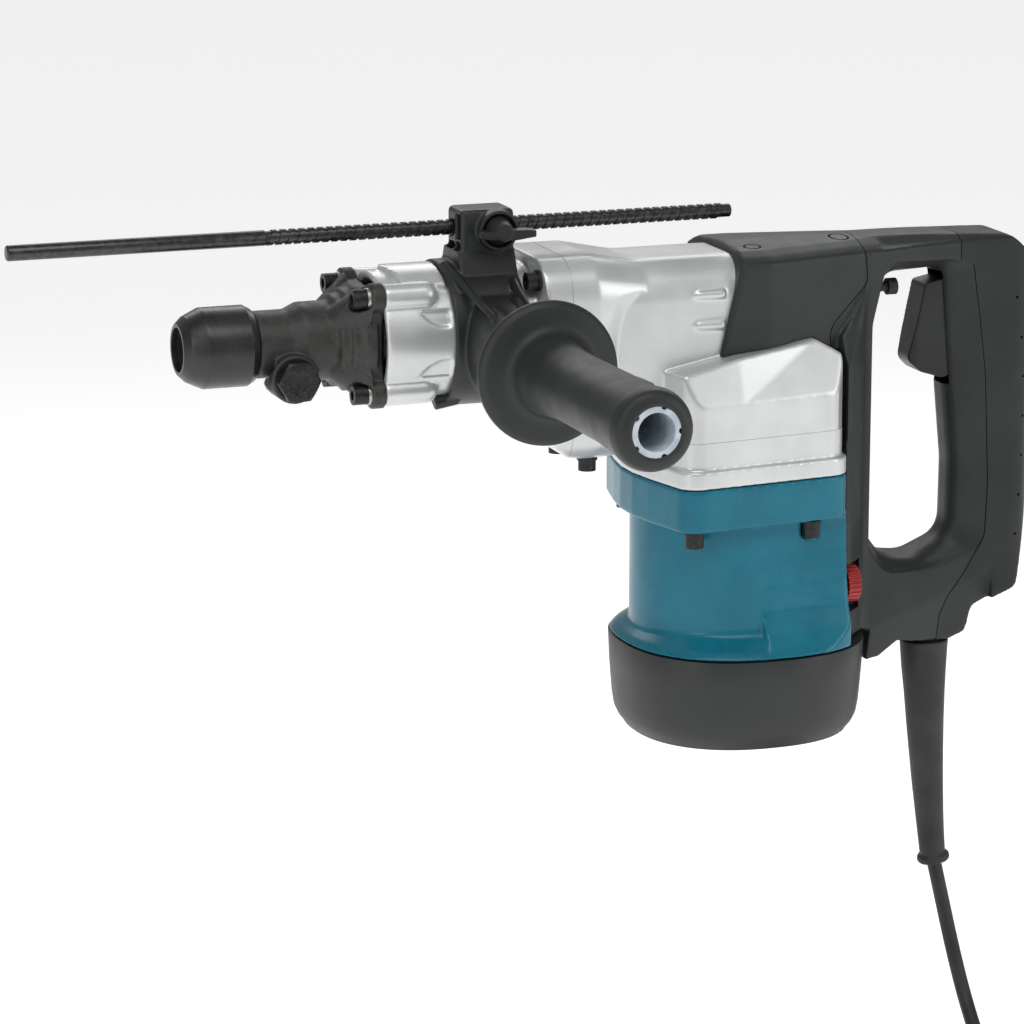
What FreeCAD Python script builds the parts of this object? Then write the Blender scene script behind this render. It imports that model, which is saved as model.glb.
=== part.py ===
"""Rotary hammer with a vertical motor, a side handle and a depth rod.

Lengths are millimetres and +Z is up. The spindle lies along X: the nose points to -X and the
rear D-handle to +X. Everything is drawn from the nose, where x = 0 and the spindle axis is
y = z = 0, and export() moves it so that the origin is the middle of the rear grip.
"""
import FreeCAD, Part
import math
import os

V = FreeCAD.Vector
X_AXIS, Y_AXIS, Z_AXIS = V(1, 0, 0), V(0, 1, 0), V(0, 0, 1)

# ---- driving dimensions ---------------------------------------------------------------------
GRIP_CENTRE = V(448, 0, -60)      # middle of the rear grip, which becomes the origin
RUN_FIT = 0.05                    # radial room of a shaft in its bearing
CLEAR = 0.3                       # room between other moving faces

# nose and tool holder
TOOL_BORE_R = 9.05                # front guide of the bore, for an 18 mm shank
GUIDE_END = 50.0                  # behind it the bore widens and carries the drive keys
KEYWAY_R = 9.3
HOLDER_FRONT = 6.0
HOLDER_NOSE_R = 10.9
HOLDER_STEP = 32.0
HOLDER_R = 14.7
HOLDER_BACK_R = 21.0
HOLDER_END = 206.0
COVER_LENGTH = 38.0
COVER_R = 20.6
COVER_TRAVEL = 8.0

# barrel and its flange
BARREL_START, BARREL_END = 38.6, 100.0
BARREL_R = 17.3
FLANGE_START = 93.0
SCREW_Y, SCREW_Z = 24.0, 24.5     # places of the four flange screws
SCREW_HEAD_R = 5.0
SCREW_SHANK_R = 3.0
RETAINER_X, RETAINER_Z = 55.0, -14.8
RETAINER_ACROSS_CORNERS = 22.5

# gear housing
NECK_R = 34.0
NECK_BORE_R = 30.0
HOUSING_START = 182.0
HOUSING_STEP = 226.0
HOUSING_END = 310.0
HOUSING_TOP = 39.7
HOUSING_TOP_LOW = 34.7
HOUSING_BOTTOM = -66.0
PLATE_TOP, PLATE_BOTTOM = -62.0, -80.0
BODY_BACK = 348.0

# drive train
MOTOR_X = 298.0
CRANK_X = 272.0
BEVEL_X = 222.0
CRANK_THROW = 12.0
PINION_TEETH, CRANK_TEETH = 8, 38
STEP_TEETH, BEVEL_GEAR_TEETH = 24, 26
BEVEL_PINION_TEETH, RING_TEETH = 8, 40
RING_PITCH_R = 30.0
CYLINDER_R, CYLINDER_BORE_R = 17.5, 14.5
ROD_LENGTH = 60.0

# motor
MOTOR_R = 51.0
MOTOR_WALL = 3.5
MOTOR_SCREWS = ((260, -49), (326, -47), (260, 49), (326, 47))
MOTOR_FLANGE_BOTTOM = -103.0
BASE_TOP, BASE_BOTTOM = -172.0, -222.0
BASE_X, BASE_HALF_X, BASE_HALF_Y = 302.0, 68.0, 67.0
SHAFT_R = 5.0

# rear D-handle
HANDLE_SCREW_Y, SCREW_TOP_Z = (-14.5, 14.5), 11.0
DIAL_X, DIAL_Y, DIAL_Z, DIAL_R, DIAL_WIDTH = 356.5, -28.5, -144.0, 10.0, 7.0
TRIGGER_PIVOT = V(436, 0, 8)

# side handle
RING_X0, RING_X1 = 135.0, 174.0
RING_R = 37.6
ARM_X, ARM_Z = 157.0, -1.5
GRIP_START, GRIP_END = -104.3, -255.0
ROD_Z, ROD_R = 54.0, 4.0
ROD_FRONT, ROD_BACK, ROD_RIBS_FROM = -86.0, 298.0, 46.0
RIB_PITCH = 4.9
WING_X = 164.0

# lead
CORD_R = 4.0
FLOOR_Z = -450.0                  # surface under the tool on which the spare lead lies
COIL_X, COIL_Y, COIL_MEAN_R, COIL_WIDE, COIL_HIGH = 370.0, -70.0, 47.0, 33.0, 32.0
TIE_THICK = 1.5


# ---- shape helpers --------------------------------------------------------------------------
def cyl_x(radius, x0, x1, y=0, z=0):
    return Part.makeCylinder(radius, x1 - x0, V(x0, y, z), X_AXIS)


def cyl_y(radius, y0, y1, x, z):
    return Part.makeCylinder(radius, y1 - y0, V(x, y0, z), Y_AXIS)


def cyl_z(radius, z0, z1, x, y=0):
    return Part.makeCylinder(radius, z1 - z0, V(x, y, z0), Z_AXIS)


def tube_x(outer, inner, x0, x1):
    return cyl_x(outer, x0, x1).cut(cyl_x(inner, x0 - 1, x1 + 1))


def tube_z(outer, inner, z0, z1, x):
    return cyl_z(outer, z0, z1, x).cut(cyl_z(inner, z0 - 1, z1 + 1, x))


def block(x0, x1, y0, y1, z0, z1):
    return Part.makeBox(x1 - x0, y1 - y0, z1 - z0, V(x0, y0, z0))


def outline_face(points):
    """Flat face in XY inside straight runs; a point's third value rounds its corner."""
    count = len(points)
    corners = []
    for i, point in enumerate(points):
        here = V(point[0], point[1], 0)
        radius = point[2] if len(point) > 2 else 0
        if radius == 0:
            corners.append((here, None, here))
            continue
        before = V(points[i - 1][0], points[i - 1][1], 0)
        after = V(points[(i + 1) % count][0], points[(i + 1) % count][1], 0)
        u = (before - here).normalize()
        v = (after - here).normalize()
        half = u.getAngle(v) / 2
        reach = radius / math.tan(half)
        middle = here + (u + v).normalize() * (radius / math.sin(half) - radius)
        corners.append((here + u * reach, middle, here + v * reach))
    edges = []
    for i, (start, middle, end) in enumerate(corners):
        if middle is not None:
            edges.append(Part.Arc(start, middle, end).toShape())
        following = corners[(i + 1) % count][0]
        if end.distanceToPoint(following) > 1e-6:
            edges.append(Part.makeLine(end, following))
    return Part.Face(Part.Wire(edges))


def side_prism(points, y0, y1):
    """Solid whose side view is the (x, z) outline."""
    face = outline_face(points)
    face.rotate(V(0, 0, 0), X_AXIS, 90)
    face.translate(V(0, y0, 0))
    return face.extrude(V(0, y1 - y0, 0))


def plan_prism(points, z0, z1):
    """Solid whose top view is the (x, y) outline."""
    face = outline_face(points)
    face.translate(V(0, 0, z0))
    return face.extrude(V(0, 0, z1 - z0))


def front_prism(points, x0, x1):
    """Solid whose front view is the (y, z) outline."""
    face = outline_face(points)
    face.rotate(V(0, 0, 0), V(1, 1, 1), 120)
    face.translate(V(x0, 0, 0))
    return face.extrude(V(x1 - x0, 0, 0))


def turned_x(points):
    """Solid of revolution about the spindle axis from an (x, radius) outline."""
    face = outline_face(points)
    return face.revolve(V(0, 0, 0), X_AXIS, 360)


def turned_y(points, x, z):
    """Solid of revolution about an axis along Y from a (y, radius) outline."""
    face = outline_face(points)
    face.rotate(V(0, 0, 0), Z_AXIS, 90)
    solid = face.revolve(V(0, 0, 0), Y_AXIS, 360)
    solid.translate(V(x, 0, z))
    return solid


def turned_z(points, x, y=0):
    """Solid of revolution about an axis along Z from a (radius, z) outline."""
    face = outline_face(points)
    face.rotate(V(0, 0, 0), X_AXIS, 90)
    solid = face.revolve(V(0, 0, 0), Z_AXIS, 360)
    solid.translate(V(x, y, 0))
    return solid


def mirrored(points):
    """Whole (x, y) outline from its lower half, given from front to back at negative y."""
    upper = [(p[0], -p[1]) + tuple(p[2:]) for p in reversed(points) if p[1] != 0]
    return list(points) + upper


def fuse(*shapes):
    return shapes[0].multiFuse(list(shapes[1:])).removeSplitter()


def cut(shape, *tools):
    return shape.cut(list(tools))


def export(name, shape):
    placed = shape.copy()
    placed.translate(GRIP_CENTRE * -1)
    if not placed.isValid():
        raise ValueError("invalid solid: " + name)
    placed.exportStep("parts/" + name + ".step")
    box = placed.BoundBox
    print("%-18s %9.0f mm3  %d solid(s)  x %.0f..%.0f y %.0f..%.0f z %.0f..%.0f" % (
        name, placed.Volume, len(placed.Solids),
        box.XMin, box.XMax, box.YMin, box.YMax, box.ZMin, box.ZMax))


def group(shapes):
    return Part.makeCompound(shapes)


# ---- nose: sliding cover, tool holder and lock ---------------------------------------------
def make_nose():
    cover = turned_x([(0, 11.2), (0, 13.0, 1), (3.5, 16.6, 2), (12, COVER_R, 6), (34.5, COVER_R, 1),
                      (COVER_LENGTH, 18.4), (COVER_LENGTH, 17.6), (15, 17.6), (15, 15), (9, 11.2)])
    export("chuck_cover", cover)

    holder = turned_x([
        (HOLDER_FRONT, TOOL_BORE_R), (HOLDER_FRONT, HOLDER_NOSE_R), (HOLDER_STEP, HOLDER_NOSE_R),
        (HOLDER_STEP, HOLDER_R), (96, HOLDER_R), (102, HOLDER_BACK_R), (HOLDER_END, HOLDER_BACK_R),
        (HOLDER_END, 18), (111, 18), (108, 12.3), (74, 12.3), (74, KEYWAY_R),
        (GUIDE_END, KEYWAY_R), (GUIDE_END, TOOL_BORE_R)])
    keys = [block(52, 66, -2, 2, 7.6, KEYWAY_R + 0.4) for _ in range(3)]
    for i, key in enumerate(keys):
        key.rotate(V(0, 0, 0), X_AXIS, 60 + 120 * i)
    windows = [block(40, 48.4, side * 11.8 - 3.2, side * 11.8 + 3.2, -2.7, 2.7) for side in (-1, 1)]
    holder = cut(fuse(holder, *keys), *windows)
    export("tool_holder", holder)

    rollers = [cyl_x(2.5, 40.4, 48, side * 11.8) for side in (-1, 1)]
    export("lock_rollers", group(rollers))

    seal = turned_x([(3, 9.4), (3, 10.4), (4, HOLDER_NOSE_R), (HOLDER_FRONT, HOLDER_NOSE_R),
                     (HOLDER_FRONT, 9.4)])
    export("dust_seal", seal)

    rings = [Part.makeTorus(13.0, 0.7, V(16.5 + 3.4 * i, 0, 0), X_AXIS) for i in range(5)]
    links = [cyl_x(0.6, 16.5 + 3.4 * i, 19.9 + 3.4 * i, 0, 13.0 * (-1) ** i) for i in range(4)]
    export("chuck_spring", fuse(*rings, *links))


# ---- barrel, its screws and the retainer bolt ----------------------------------------------
def flange_outline(half, lobe_r):
    plate = front_prism([(-half, -half, 6), (half, -half, 6), (half, half, 6), (-half, half, 6)],
                        FLANGE_START, BARREL_END)
    lobes = [cyl_x(lobe_r, FLANGE_START, BARREL_END, y, z) for y, z in screw_places()]
    return fuse(plate, *lobes)


def screw_places():
    return [(y, z) for y in (-SCREW_Y, SCREW_Y) for z in (-SCREW_Z, SCREW_Z)]


def make_barrel():
    tube = turned_x([
        (BARREL_START, 15), (BARREL_START, BARREL_R), (59, BARREL_R), (65, 20.3, 2), (79, 20.3),
        (80.5, 22.5), (84, 22.5), (85.5, 25), (89, 25), (FLANGE_START, 29), (BARREL_END, 29),
        (BARREL_END, 22.4), (94, 22.4), (86, 18), (64, 18), (64, 15)])
    lug = cyl_y(12.5, -23, -8, RETAINER_X, RETAINER_Z)
    lug_web = block(42, 68, -18, -6, -20, -2)
    bore = cyl_x(15, 30, 70).fuse(cyl_x(18, 64, 90))
    holes = [cyl_x(SCREW_SHANK_R, 90, 101, y, z) for y, z in screw_places()]
    thread = cyl_y(6, -24, -14.9, RETAINER_X, RETAINER_Z)
    plate = cut(flange_outline(27, 7.5), cyl_x(28.5, 90, 101))
    cover_path = tube_x(COVER_R + 1, BARREL_R, BARREL_START, COVER_LENGTH + COVER_TRAVEL + 0.5)
    body = cut(fuse(tube, plate, lug, lug_web), bore, thread, cover_path, *holes)
    export("barrel", body)

    heads, washers = [], []
    for y, z in screw_places():
        head = cyl_x(SCREW_HEAD_R, 84, 91.4, y, z).cut(hexagon_x(84, 87.6, 2.9, y, z))
        heads.append(head.fuse(cyl_x(SCREW_SHANK_R, 91.4, 124, y, z)).removeSplitter())
        washers.append(cyl_x(5.4, 91.4, FLANGE_START, y, z).cut(cyl_x(SCREW_SHANK_R, 90, 95, y, z)))
    export("barrel_screws", group(heads))
    export("spring_washers", group(washers))

    hexagon = Part.Face(Part.makePolygon([
        V(RETAINER_X + RETAINER_ACROSS_CORNERS / 2 * math.cos(math.radians(a)), -30.5,
          RETAINER_Z + RETAINER_ACROSS_CORNERS / 2 * math.sin(math.radians(a)))
        for a in range(0, 361, 60)]))
    head = hexagon.extrude(V(0, 6, 0))
    crown = turned_y([(-24.5, 0), (-24.5, 11.6), (-29.3, 11.6), (-30.5, 9.5), (-30.5, 0)],
                     RETAINER_X, RETAINER_Z)
    bolt = head.common(crown).fuse(cyl_y(6, -24.5, -15, RETAINER_X, RETAINER_Z))
    export("retainer_bolt", bolt.removeSplitter())
    washer = cyl_y(10.8, -24.5, -23, RETAINER_X, RETAINER_Z)
    export("retainer_washer", washer.cut(cyl_y(6, -25, -22, RETAINER_X, RETAINER_Z)))

    export("front_bearing", tube_x(18, HOLDER_R + RUN_FIT, 66, 82))
    export("oil_seal", tube_x(NECK_BORE_R, HOLDER_BACK_R + CLEAR, 104, 110))


def hexagon_x(x0, x1, radius, y, z):
    corners = [V(x0, y + radius * math.cos(math.radians(a)), z + radius * math.sin(math.radians(a)))
               for a in range(0, 361, 60)]
    return Part.Face(Part.makePolygon(corners)).extrude(V(x1 - x0, 0, 0))


# ---- hammer mechanism ----------------------------------------------------------------------
def make_hammer():
    anvil = turned_x([(74.6, 0), (74.6, 8.6), (84, 8.6), (85, 12), (104, 12), (106, 8), (118, 8, 2),
                      (118, 0)])
    export("impact_bolt", anvil)

    striker = turned_x([(130, 0), (130, 8), (134, CYLINDER_BORE_R - RUN_FIT),
                        (149, CYLINDER_BORE_R - RUN_FIT), (149, 12.6), (153, 12.6),
                        (153, CYLINDER_BORE_R - RUN_FIT), (165, CYLINDER_BORE_R - RUN_FIT), (165, 0)])
    export("striker", striker)
    export("striker_ring", tube_x(14.4, 12.6, 149.4, 152.6))

    export("cylinder", tube_x(CYLINDER_R, CYLINDER_BORE_R, 112, 240))

    pin_x = CRANK_X + CRANK_THROW - ROD_LENGTH
    piston = turned_x([(208, 0), (208, CYLINDER_BORE_R - RUN_FIT), (211, CYLINDER_BORE_R - RUN_FIT),
                       (211, 12.6), (215, 12.6), (215, CYLINDER_BORE_R - RUN_FIT),
                       (237, CYLINDER_BORE_R - RUN_FIT), (237, 0)])
    piston = cut(piston, block(217, 240, -7, 7, -6.4, 6.4), cyl_z(4, -20, 20, pin_x))
    export("piston", piston)
    export("piston_ring", tube_x(14.4, 12.6, 211.4, 214.6))
    export("wrist_pin", cyl_z(4, -13, 13, pin_x))

    crank_pin_x = CRANK_X + CRANK_THROW
    rod = fuse(cyl_z(6.2, -6, 6, pin_x), block(pin_x, crank_pin_x - 8, -4, 4, -4, 4),
               cyl_z(9.5, -6, 6, crank_pin_x))
    rod = cut(rod, cyl_z(4, -8, 8, pin_x), cyl_z(5.4, -8, 8, crank_pin_x))
    export("connecting_rod", rod)


# ---- gears ---------------------------------------------------------------------------------
def spur_gear(teeth, pitch_r, z0, z1, x, first):
    """Straight-toothed wheel; the first tooth points `first` degrees round from +X."""
    module = 2 * pitch_r / teeth
    step = 360 / teeth
    corners = []
    for i in range(teeth):
        middle = first + i * step
        for share, radius in ((-0.27, -1.05), (-0.12, 0.7), (0.12, 0.7), (0.27, -1.05)):
            angle = math.radians(middle + share * step)
            reach = pitch_r + radius * module
            corners.append(V(x + reach * math.cos(angle), reach * math.sin(angle), z0))
    corners.append(corners[0])
    return Part.Face(Part.makePolygon(corners)).extrude(V(0, 0, z1 - z0))


def bevel_tooth(angle, half_pitch, near, far, tall, start):
    """One tooth that tapers towards the point where the two bevel axes meet."""
    sections = []
    for reach in (near, far):
        scale = reach / far
        flat = []
        for share, height in ((-0.5, -1.2), (-0.22, tall), (0.22, tall), (0.5, -1.2)):
            spread = math.radians(angle + share * half_pitch)
            flat.append(start(reach, spread, height * scale))
        flat.append(flat[0])
        sections.append(Part.makePolygon(flat))
    return Part.makeLoft(sections, True, True)


def make_bevel_shaft():
    depth = RING_PITCH_R
    ratio = BEVEL_PINION_TEETH / RING_TEETH
    module = 2 * depth * ratio / BEVEL_PINION_TEETH

    def pinion_point(reach, spread, height):
        radius = reach * ratio + height * module
        return V(BEVEL_X + radius * math.cos(spread), radius * math.sin(spread), -reach)

    pitch = 360 / BEVEL_PINION_TEETH
    teeth = [bevel_tooth(180 + i * pitch, pitch * 0.56, depth - 8, depth, 0.65, pinion_point)
             for i in range(BEVEL_PINION_TEETH)]
    core = Part.makeCone(depth * ratio - 1.1 * module, (depth - 8) * ratio - 0.75 * module, 8,
                         V(BEVEL_X, 0, -depth), Z_AXIS)
    core = core.fuse(cyl_z(4, -34, -depth, BEVEL_X))
    shaft = turned_z([(0, -65.3), (4, -65.3), (4, -59.8), (6, -59.8), (6, -46), (4, -46), (4, -34),
                      (0, -34)], BEVEL_X)
    export("bevel_pinion", fuse(shaft, core, *teeth))

    step_r = (CRANK_X - BEVEL_X) * BEVEL_GEAR_TEETH / (STEP_TEETH + BEVEL_GEAR_TEETH)
    wheel = spur_gear(BEVEL_GEAR_TEETH, step_r, -58, -50, BEVEL_X, 0)
    wheel = cut(wheel, cyl_z(6, -60, -40, BEVEL_X))
    export("bevel_gear", wheel)
    export("bevel_bearings", group([tube_z(10, 4 + RUN_FIT, -44, -37, BEVEL_X),
                                    tube_z(10, 4 + RUN_FIT, -65.5, -60.5, BEVEL_X)]))

    def ring_point(reach, spread, height):
        x = BEVEL_X - reach * ratio + height * module
        return V(x, reach * math.sin(spread), -reach * math.cos(spread))

    pitch = 360 / RING_TEETH
    teeth = [bevel_tooth((i + 0.5) * pitch, pitch * 0.5, depth - 7, depth + 1, 0.55, ring_point)
             for i in range(RING_TEETH)]
    web_x = BEVEL_X - (depth + 1) * ratio - 1.0 * module
    back = turned_x([(190, HOLDER_BACK_R), (190, 26), (200, 26), (204, 31.4), (web_x, 31.4),
                     (web_x, HOLDER_BACK_R)])
    body = back.multiFuse(teeth)
    export("ring_gear", body)
    export("rear_bearing", tube_x(NECK_BORE_R, HOLDER_BACK_R + RUN_FIT, 168, 181))


def make_crank():
    distance = MOTOR_X - CRANK_X
    gear_r = distance * CRANK_TEETH / (CRANK_TEETH + PINION_TEETH)
    step_r = (CRANK_X - BEVEL_X) * STEP_TEETH / (STEP_TEETH + BEVEL_GEAR_TEETH)
    shaft = turned_z([(0, -79.8), (5, -79.8), (5, -75.6), (7, -75.6), (7, -30), (18, -30),
                      (18, -20.5), (0, -20.5)], CRANK_X)
    pin = cyl_z(5, -20.5, -6.4, CRANK_X + CRANK_THROW)
    export("crank_shaft", fuse(shaft, pin))
    big = spur_gear(CRANK_TEETH, gear_r, -73, -65, CRANK_X, 180 / CRANK_TEETH)
    small = spur_gear(STEP_TEETH, step_r, -58, -50, CRANK_X, 180 + 180 / STEP_TEETH)
    hub = cyl_z(10, -65, -58, CRANK_X)
    export("crank_gear", cut(fuse(big, hub, small), cyl_z(7, -80, -40, CRANK_X)))
    export("crank_bearings", group([tube_z(17, 7 + RUN_FIT, -46, -36, CRANK_X),
                                    tube_z(9, 5 + RUN_FIT, -80, -76, CRANK_X)]))


# ---- silver housings -----------------------------------------------------------------------
def crankcase_plan(inset=0.0):
    return mirrored([(238 + inset, 0, 110), (252 + inset, -60 + inset, 12),
                     (BODY_BACK - inset, -50 + inset, 6)])


def make_gear_housing():
    neck = cyl_x(NECK_R, BARREL_END, HOUSING_START + 5)
    pad = front_prism([(-27, -27, 6), (27, -27, 6), (27, 27, 6), (-27, 27, 6)], BARREL_END, 104)
    bosses = []
    for y, z in screw_places():
        bosses.append(cyl_x(6.6, BARREL_END, 124, y, z))
        bosses.append(Part.makeSphere(6.6, V(124, y, z)))
    front = front_prism([(-40, HOUSING_BOTTOM, 16), (40, HOUSING_BOTTOM, 16), (40, HOUSING_TOP, 20),
                         (-40, HOUSING_TOP, 20)], HOUSING_START, HOUSING_STEP)
    slope_side = side_prism([(HOUSING_START, 60), (HOUSING_START, -40, 4), (187, -56, 8), (196, -64, 8),
                             (208, HOUSING_BOTTOM), (HOUSING_STEP, HOUSING_BOTTOM), (HOUSING_STEP, 60)],
                            -50, 50)
    front = front.common(slope_side)
    middle = front_prism([(-35, HOUSING_BOTTOM, 16), (35, HOUSING_BOTTOM, 16),
                          (35, HOUSING_TOP_LOW, 20), (-35, HOUSING_TOP_LOW, 20)],
                         HOUSING_STEP, HOUSING_END)
    nose_room = block(230, 312, -60, 60, -70, PLATE_TOP)
    roof = front_prism([(-60, PLATE_TOP), (60, PLATE_TOP), (60, -43, 3), (38, -8), (-38, -8),
                        (-60, -43, 3)], 236, BODY_BACK)
    slope = side_prism([(232, -70), (232, -33), (275, -13, 20), (328, -9, 12), (BODY_BACK, -17, 6),
                        (BODY_BACK, -70)], -70, 70)
    case = roof.common(slope).common(plan_prism(crankcase_plan(), PLATE_TOP, 0))
    ribs = [block(266, 281, side * 35 - 2, side * 35 + 2, z - 1.2, z + 1.2)
            for side in (-1, 1) for z in (18, 2)]
    outer = fuse(neck, pad, *bosses, front, cut(middle, nose_room), case, *ribs)

    spindle_bore = cyl_x(NECK_BORE_R, BARREL_END - 1, HOUSING_START + 6)
    ring_room = block(HOUSING_START + 5, 232, -34, 34, -36, 34)
    crank_room = block(240, 306, -31, 31, -36, 30)
    gear_room = block(194.5, 300, -28, 28, -59.5, -46)
    case_room = block(246, 342, -46, 46, PLATE_TOP - 1, -46)
    back_room = block(312, 342, -36, 36, PLATE_TOP - 1, -20)
    bores = [cyl_x(CYLINDER_R, 230, 242), cyl_z(10, -46, -36, BEVEL_X), cyl_z(17, -46, -36, CRANK_X),
             cyl_z(10, -65.5, -59, BEVEL_X)]
    holes = [cyl_x(SCREW_SHANK_R, 99, 124, y, z) for y, z in screw_places()]
    housing = cut(outer, spindle_bore, ring_room, crank_room, gear_room, case_room, back_room,
                  *bores, *holes)
    export("gear_housing", housing)

    plate = plan_prism(crankcase_plan(), PLATE_BOTTOM, PLATE_TOP)
    room = plan_prism(crankcase_plan(5), PLATE_BOTTOM + 4, PLATE_TOP + 1)
    plate = cut(plate, room, cyl_z(9, -81, -75, CRANK_X), cyl_z(7.4, -81, -75, MOTOR_X))
    export("bearing_plate", plate)

    screws = []
    for y in (-29, 29):
        head = cyl_x(4.6, 174.8, 180.4, y, 29).cut(hexagon_x(174.8, 178, 2.6, y, 29))
        washer = cyl_x(5.4, 180.4, HOUSING_START, y, 29)
        screws.append(fuse(head, washer))
    for y in (-22, 22):
        screws.append(fuse(cyl_z(4.6, -73, -67.4, 211, y), cyl_z(5.4, -67.4, HOUSING_BOTTOM, 211, y)))
    export("housing_screws", group(screws))
    return outer


# ---- motor ---------------------------------------------------------------------------------
def base_outline(grow=0.0):
    """Rounded outline of the motor base, a little squarer than an ellipse."""
    half_x, half_y = BASE_HALF_X + grow, BASE_HALF_Y + grow
    power = 2.3
    points = []
    for i in range(48):
        turn = 2 * math.pi * i / 48
        c, s = math.cos(turn), math.sin(turn)
        points.append(V(BASE_X + half_x * math.copysign(abs(c) ** (2 / power), c),
                        half_y * math.copysign(abs(s) ** (2 / power), s), 0))
    spline = Part.BSplineCurve()
    spline.interpolate(points, PeriodicFlag=True)
    return Part.Wire(spline.toShape())


def base_layer(grow, z):
    wire = base_outline(grow)
    wire.translate(V(0, 0, z))
    return wire


def make_motor():
    flange = plan_prism(crankcase_plan(), MOTOR_FLANGE_BOTTOM, PLATE_BOTTOM)
    barrel = cyl_z(MOTOR_R, BASE_TOP + 1, MOTOR_FLANGE_BOTTOM, MOTOR_X)
    pad = plan_prism(mirrored([(300, -51, 0), (320, -50, 4), (BODY_BACK, -44, 4)]), BASE_TOP + 1,
                     MOTOR_FLANGE_BOTTOM)
    flare = Part.makeLoft([base_layer(-11, -160), base_layer(0, BASE_TOP)], True, True)
    room = cyl_z(MOTOR_R - MOTOR_WALL, BASE_TOP - 1, -90, MOTOR_X)
    boss = cyl_z(18, -98, -90, MOTOR_X)
    outer = fuse(flange, barrel, pad, flare)
    outer = cut(outer, block(BODY_BACK, 400, -80, 80, -180, -70))
    seat = cyl_z(14, -99, -89, MOTOR_X)
    pockets = [cyl_z(6.2, -120, MOTOR_FLANGE_BOTTOM, x, y) for x, y in MOTOR_SCREWS]
    housing = cut(outer, cut(room, boss), seat, cyl_z(7.4, -90, -79, MOTOR_X), *pockets)
    export("motor_housing", housing)

    shell = Part.makeLoft([base_layer(-12, BASE_BOTTOM), base_layer(-3.5, BASE_BOTTOM + 4)],
                          True, True)
    shell = shell.fuse(Part.makeLoft([base_layer(-3.5, BASE_BOTTOM + 4),
                                      base_layer(-0.8, BASE_BOTTOM + 12),
                                      base_layer(0, BASE_BOTTOM + 26),
                                      base_layer(0, BASE_TOP)], True, True))
    hollow = Part.makeLoft([base_layer(-8, BASE_BOTTOM + 4), base_layer(-3.5, BASE_TOP)],
                           True, True)
    post = cyl_z(15, BASE_BOTTOM, -206, MOTOR_X)
    cap = cut(fuse(shell.cut(hollow), post), cyl_z(11, -216, -205, MOTOR_X))
    cap = cut(cap, block(BODY_BACK + 22.5, 400, -80, 80, -230, -160))
    export("base_cap", cap)

    screws = []
    for x, y in MOTOR_SCREWS:
        head = cyl_z(4.8, -112, MOTOR_FLANGE_BOTTOM - 1.6, x, y)
        head = head.cut(cyl_z(2.6, -113, -108, x, y))
        screws.append(head.fuse(cyl_z(5.6, MOTOR_FLANGE_BOTTOM - 1.6, MOTOR_FLANGE_BOTTOM, x, y)))
    export("motor_screws", group(screws))

    pinion_r = (MOTOR_X - CRANK_X) * PINION_TEETH / (CRANK_TEETH + PINION_TEETH)
    pinion = spur_gear(PINION_TEETH, pinion_r, -76, -64, MOTOR_X, 180)
    shaft = turned_z([(0, -214), (SHAFT_R, -214), (SHAFT_R, -86), (4, -86), (3, -76),
                      (3, -64.5), (0, -64.5)], MOTOR_X)
    export("armature_shaft", fuse(shaft, pinion))
    export("armature_core", tube_z(24.3, SHAFT_R, -163, -119, MOTOR_X))
    export("commutator", tube_z(14, SHAFT_R, -186, -168, MOTOR_X))
    blades = [block(MOTOR_X + 14, MOTOR_X + 41, -0.8, 0.8, -112, -104) for _ in range(11)]
    for i, blade in enumerate(blades):
        blade.rotate(V(MOTOR_X, 0, 0), Z_AXIS, 360 / 11 * i)
    fan = fuse(tube_z(43, SHAFT_R, -104, -102, MOTOR_X), tube_z(15, SHAFT_R, -112, -102, MOTOR_X),
               *blades)
    export("fan", fan)
    export("stator", tube_z(MOTOR_R - MOTOR_WALL, 25, -164, -118, MOTOR_X))
    holders, brushes = [], []
    for side in (-1, 1):
        inner, outer = sorted((side * 17, side * 45))
        case = block(MOTOR_X - 6, MOTOR_X + 6, inner, outer, -182, -170)
        tunnel = block(MOTOR_X - 4, MOTOR_X + 4, inner - 1, outer + 1, -180, -172)
        holders.append(case.cut(tunnel))
        inner, outer = sorted((side * 14.3, side * 32))
        brushes.append(block(MOTOR_X - 4, MOTOR_X + 4, inner, outer, -180, -172))
    export("brush_holders", group(holders))
    export("carbon_brushes", group(brushes))
    export("motor_bearings", group([tube_z(14, SHAFT_R + RUN_FIT, -97, -89, MOTOR_X),
                                    tube_z(11, SHAFT_R + RUN_FIT, -215, -206, MOTOR_X)]))


# ---- rear cover and D-handle ---------------------------------------------------------------
def make_rear_cover(housing_outer):
    side = side_prism([(287, -16.5), (275, -12.5, 10), (288, 36, 2), (291, 40.5, 4), (360, 39.5, 40),
                       (376, 37), (371, 14, 8), (351, -7, 8), (351, -16.4), (346, -14.6, 4),
                       (328, -8.6, 12)], -60, 60)
    plan = plan_prism(mirrored([(280, -38.5), (306, -38.5, 30), (372, -23, 30), (380, -22.5)]),
                      -60, 60)
    section = front_prism([(-50, -60), (50, -60), (50, 38, 1), (24, 40.5, 20), (-24, 40.5, 20),
                           (-50, 38, 1)], 270, 400)
    outer = side.common(plan).common(section)
    room = block(270, HOUSING_END + 0.5, -35.4, 35.4, -30, 35.2)
    back_room = block(HOUSING_END - 1, 352, -19, 19, -6, 33)
    export("rear_cover", cut(outer, room, back_room, housing_outer))
    return outer


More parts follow.
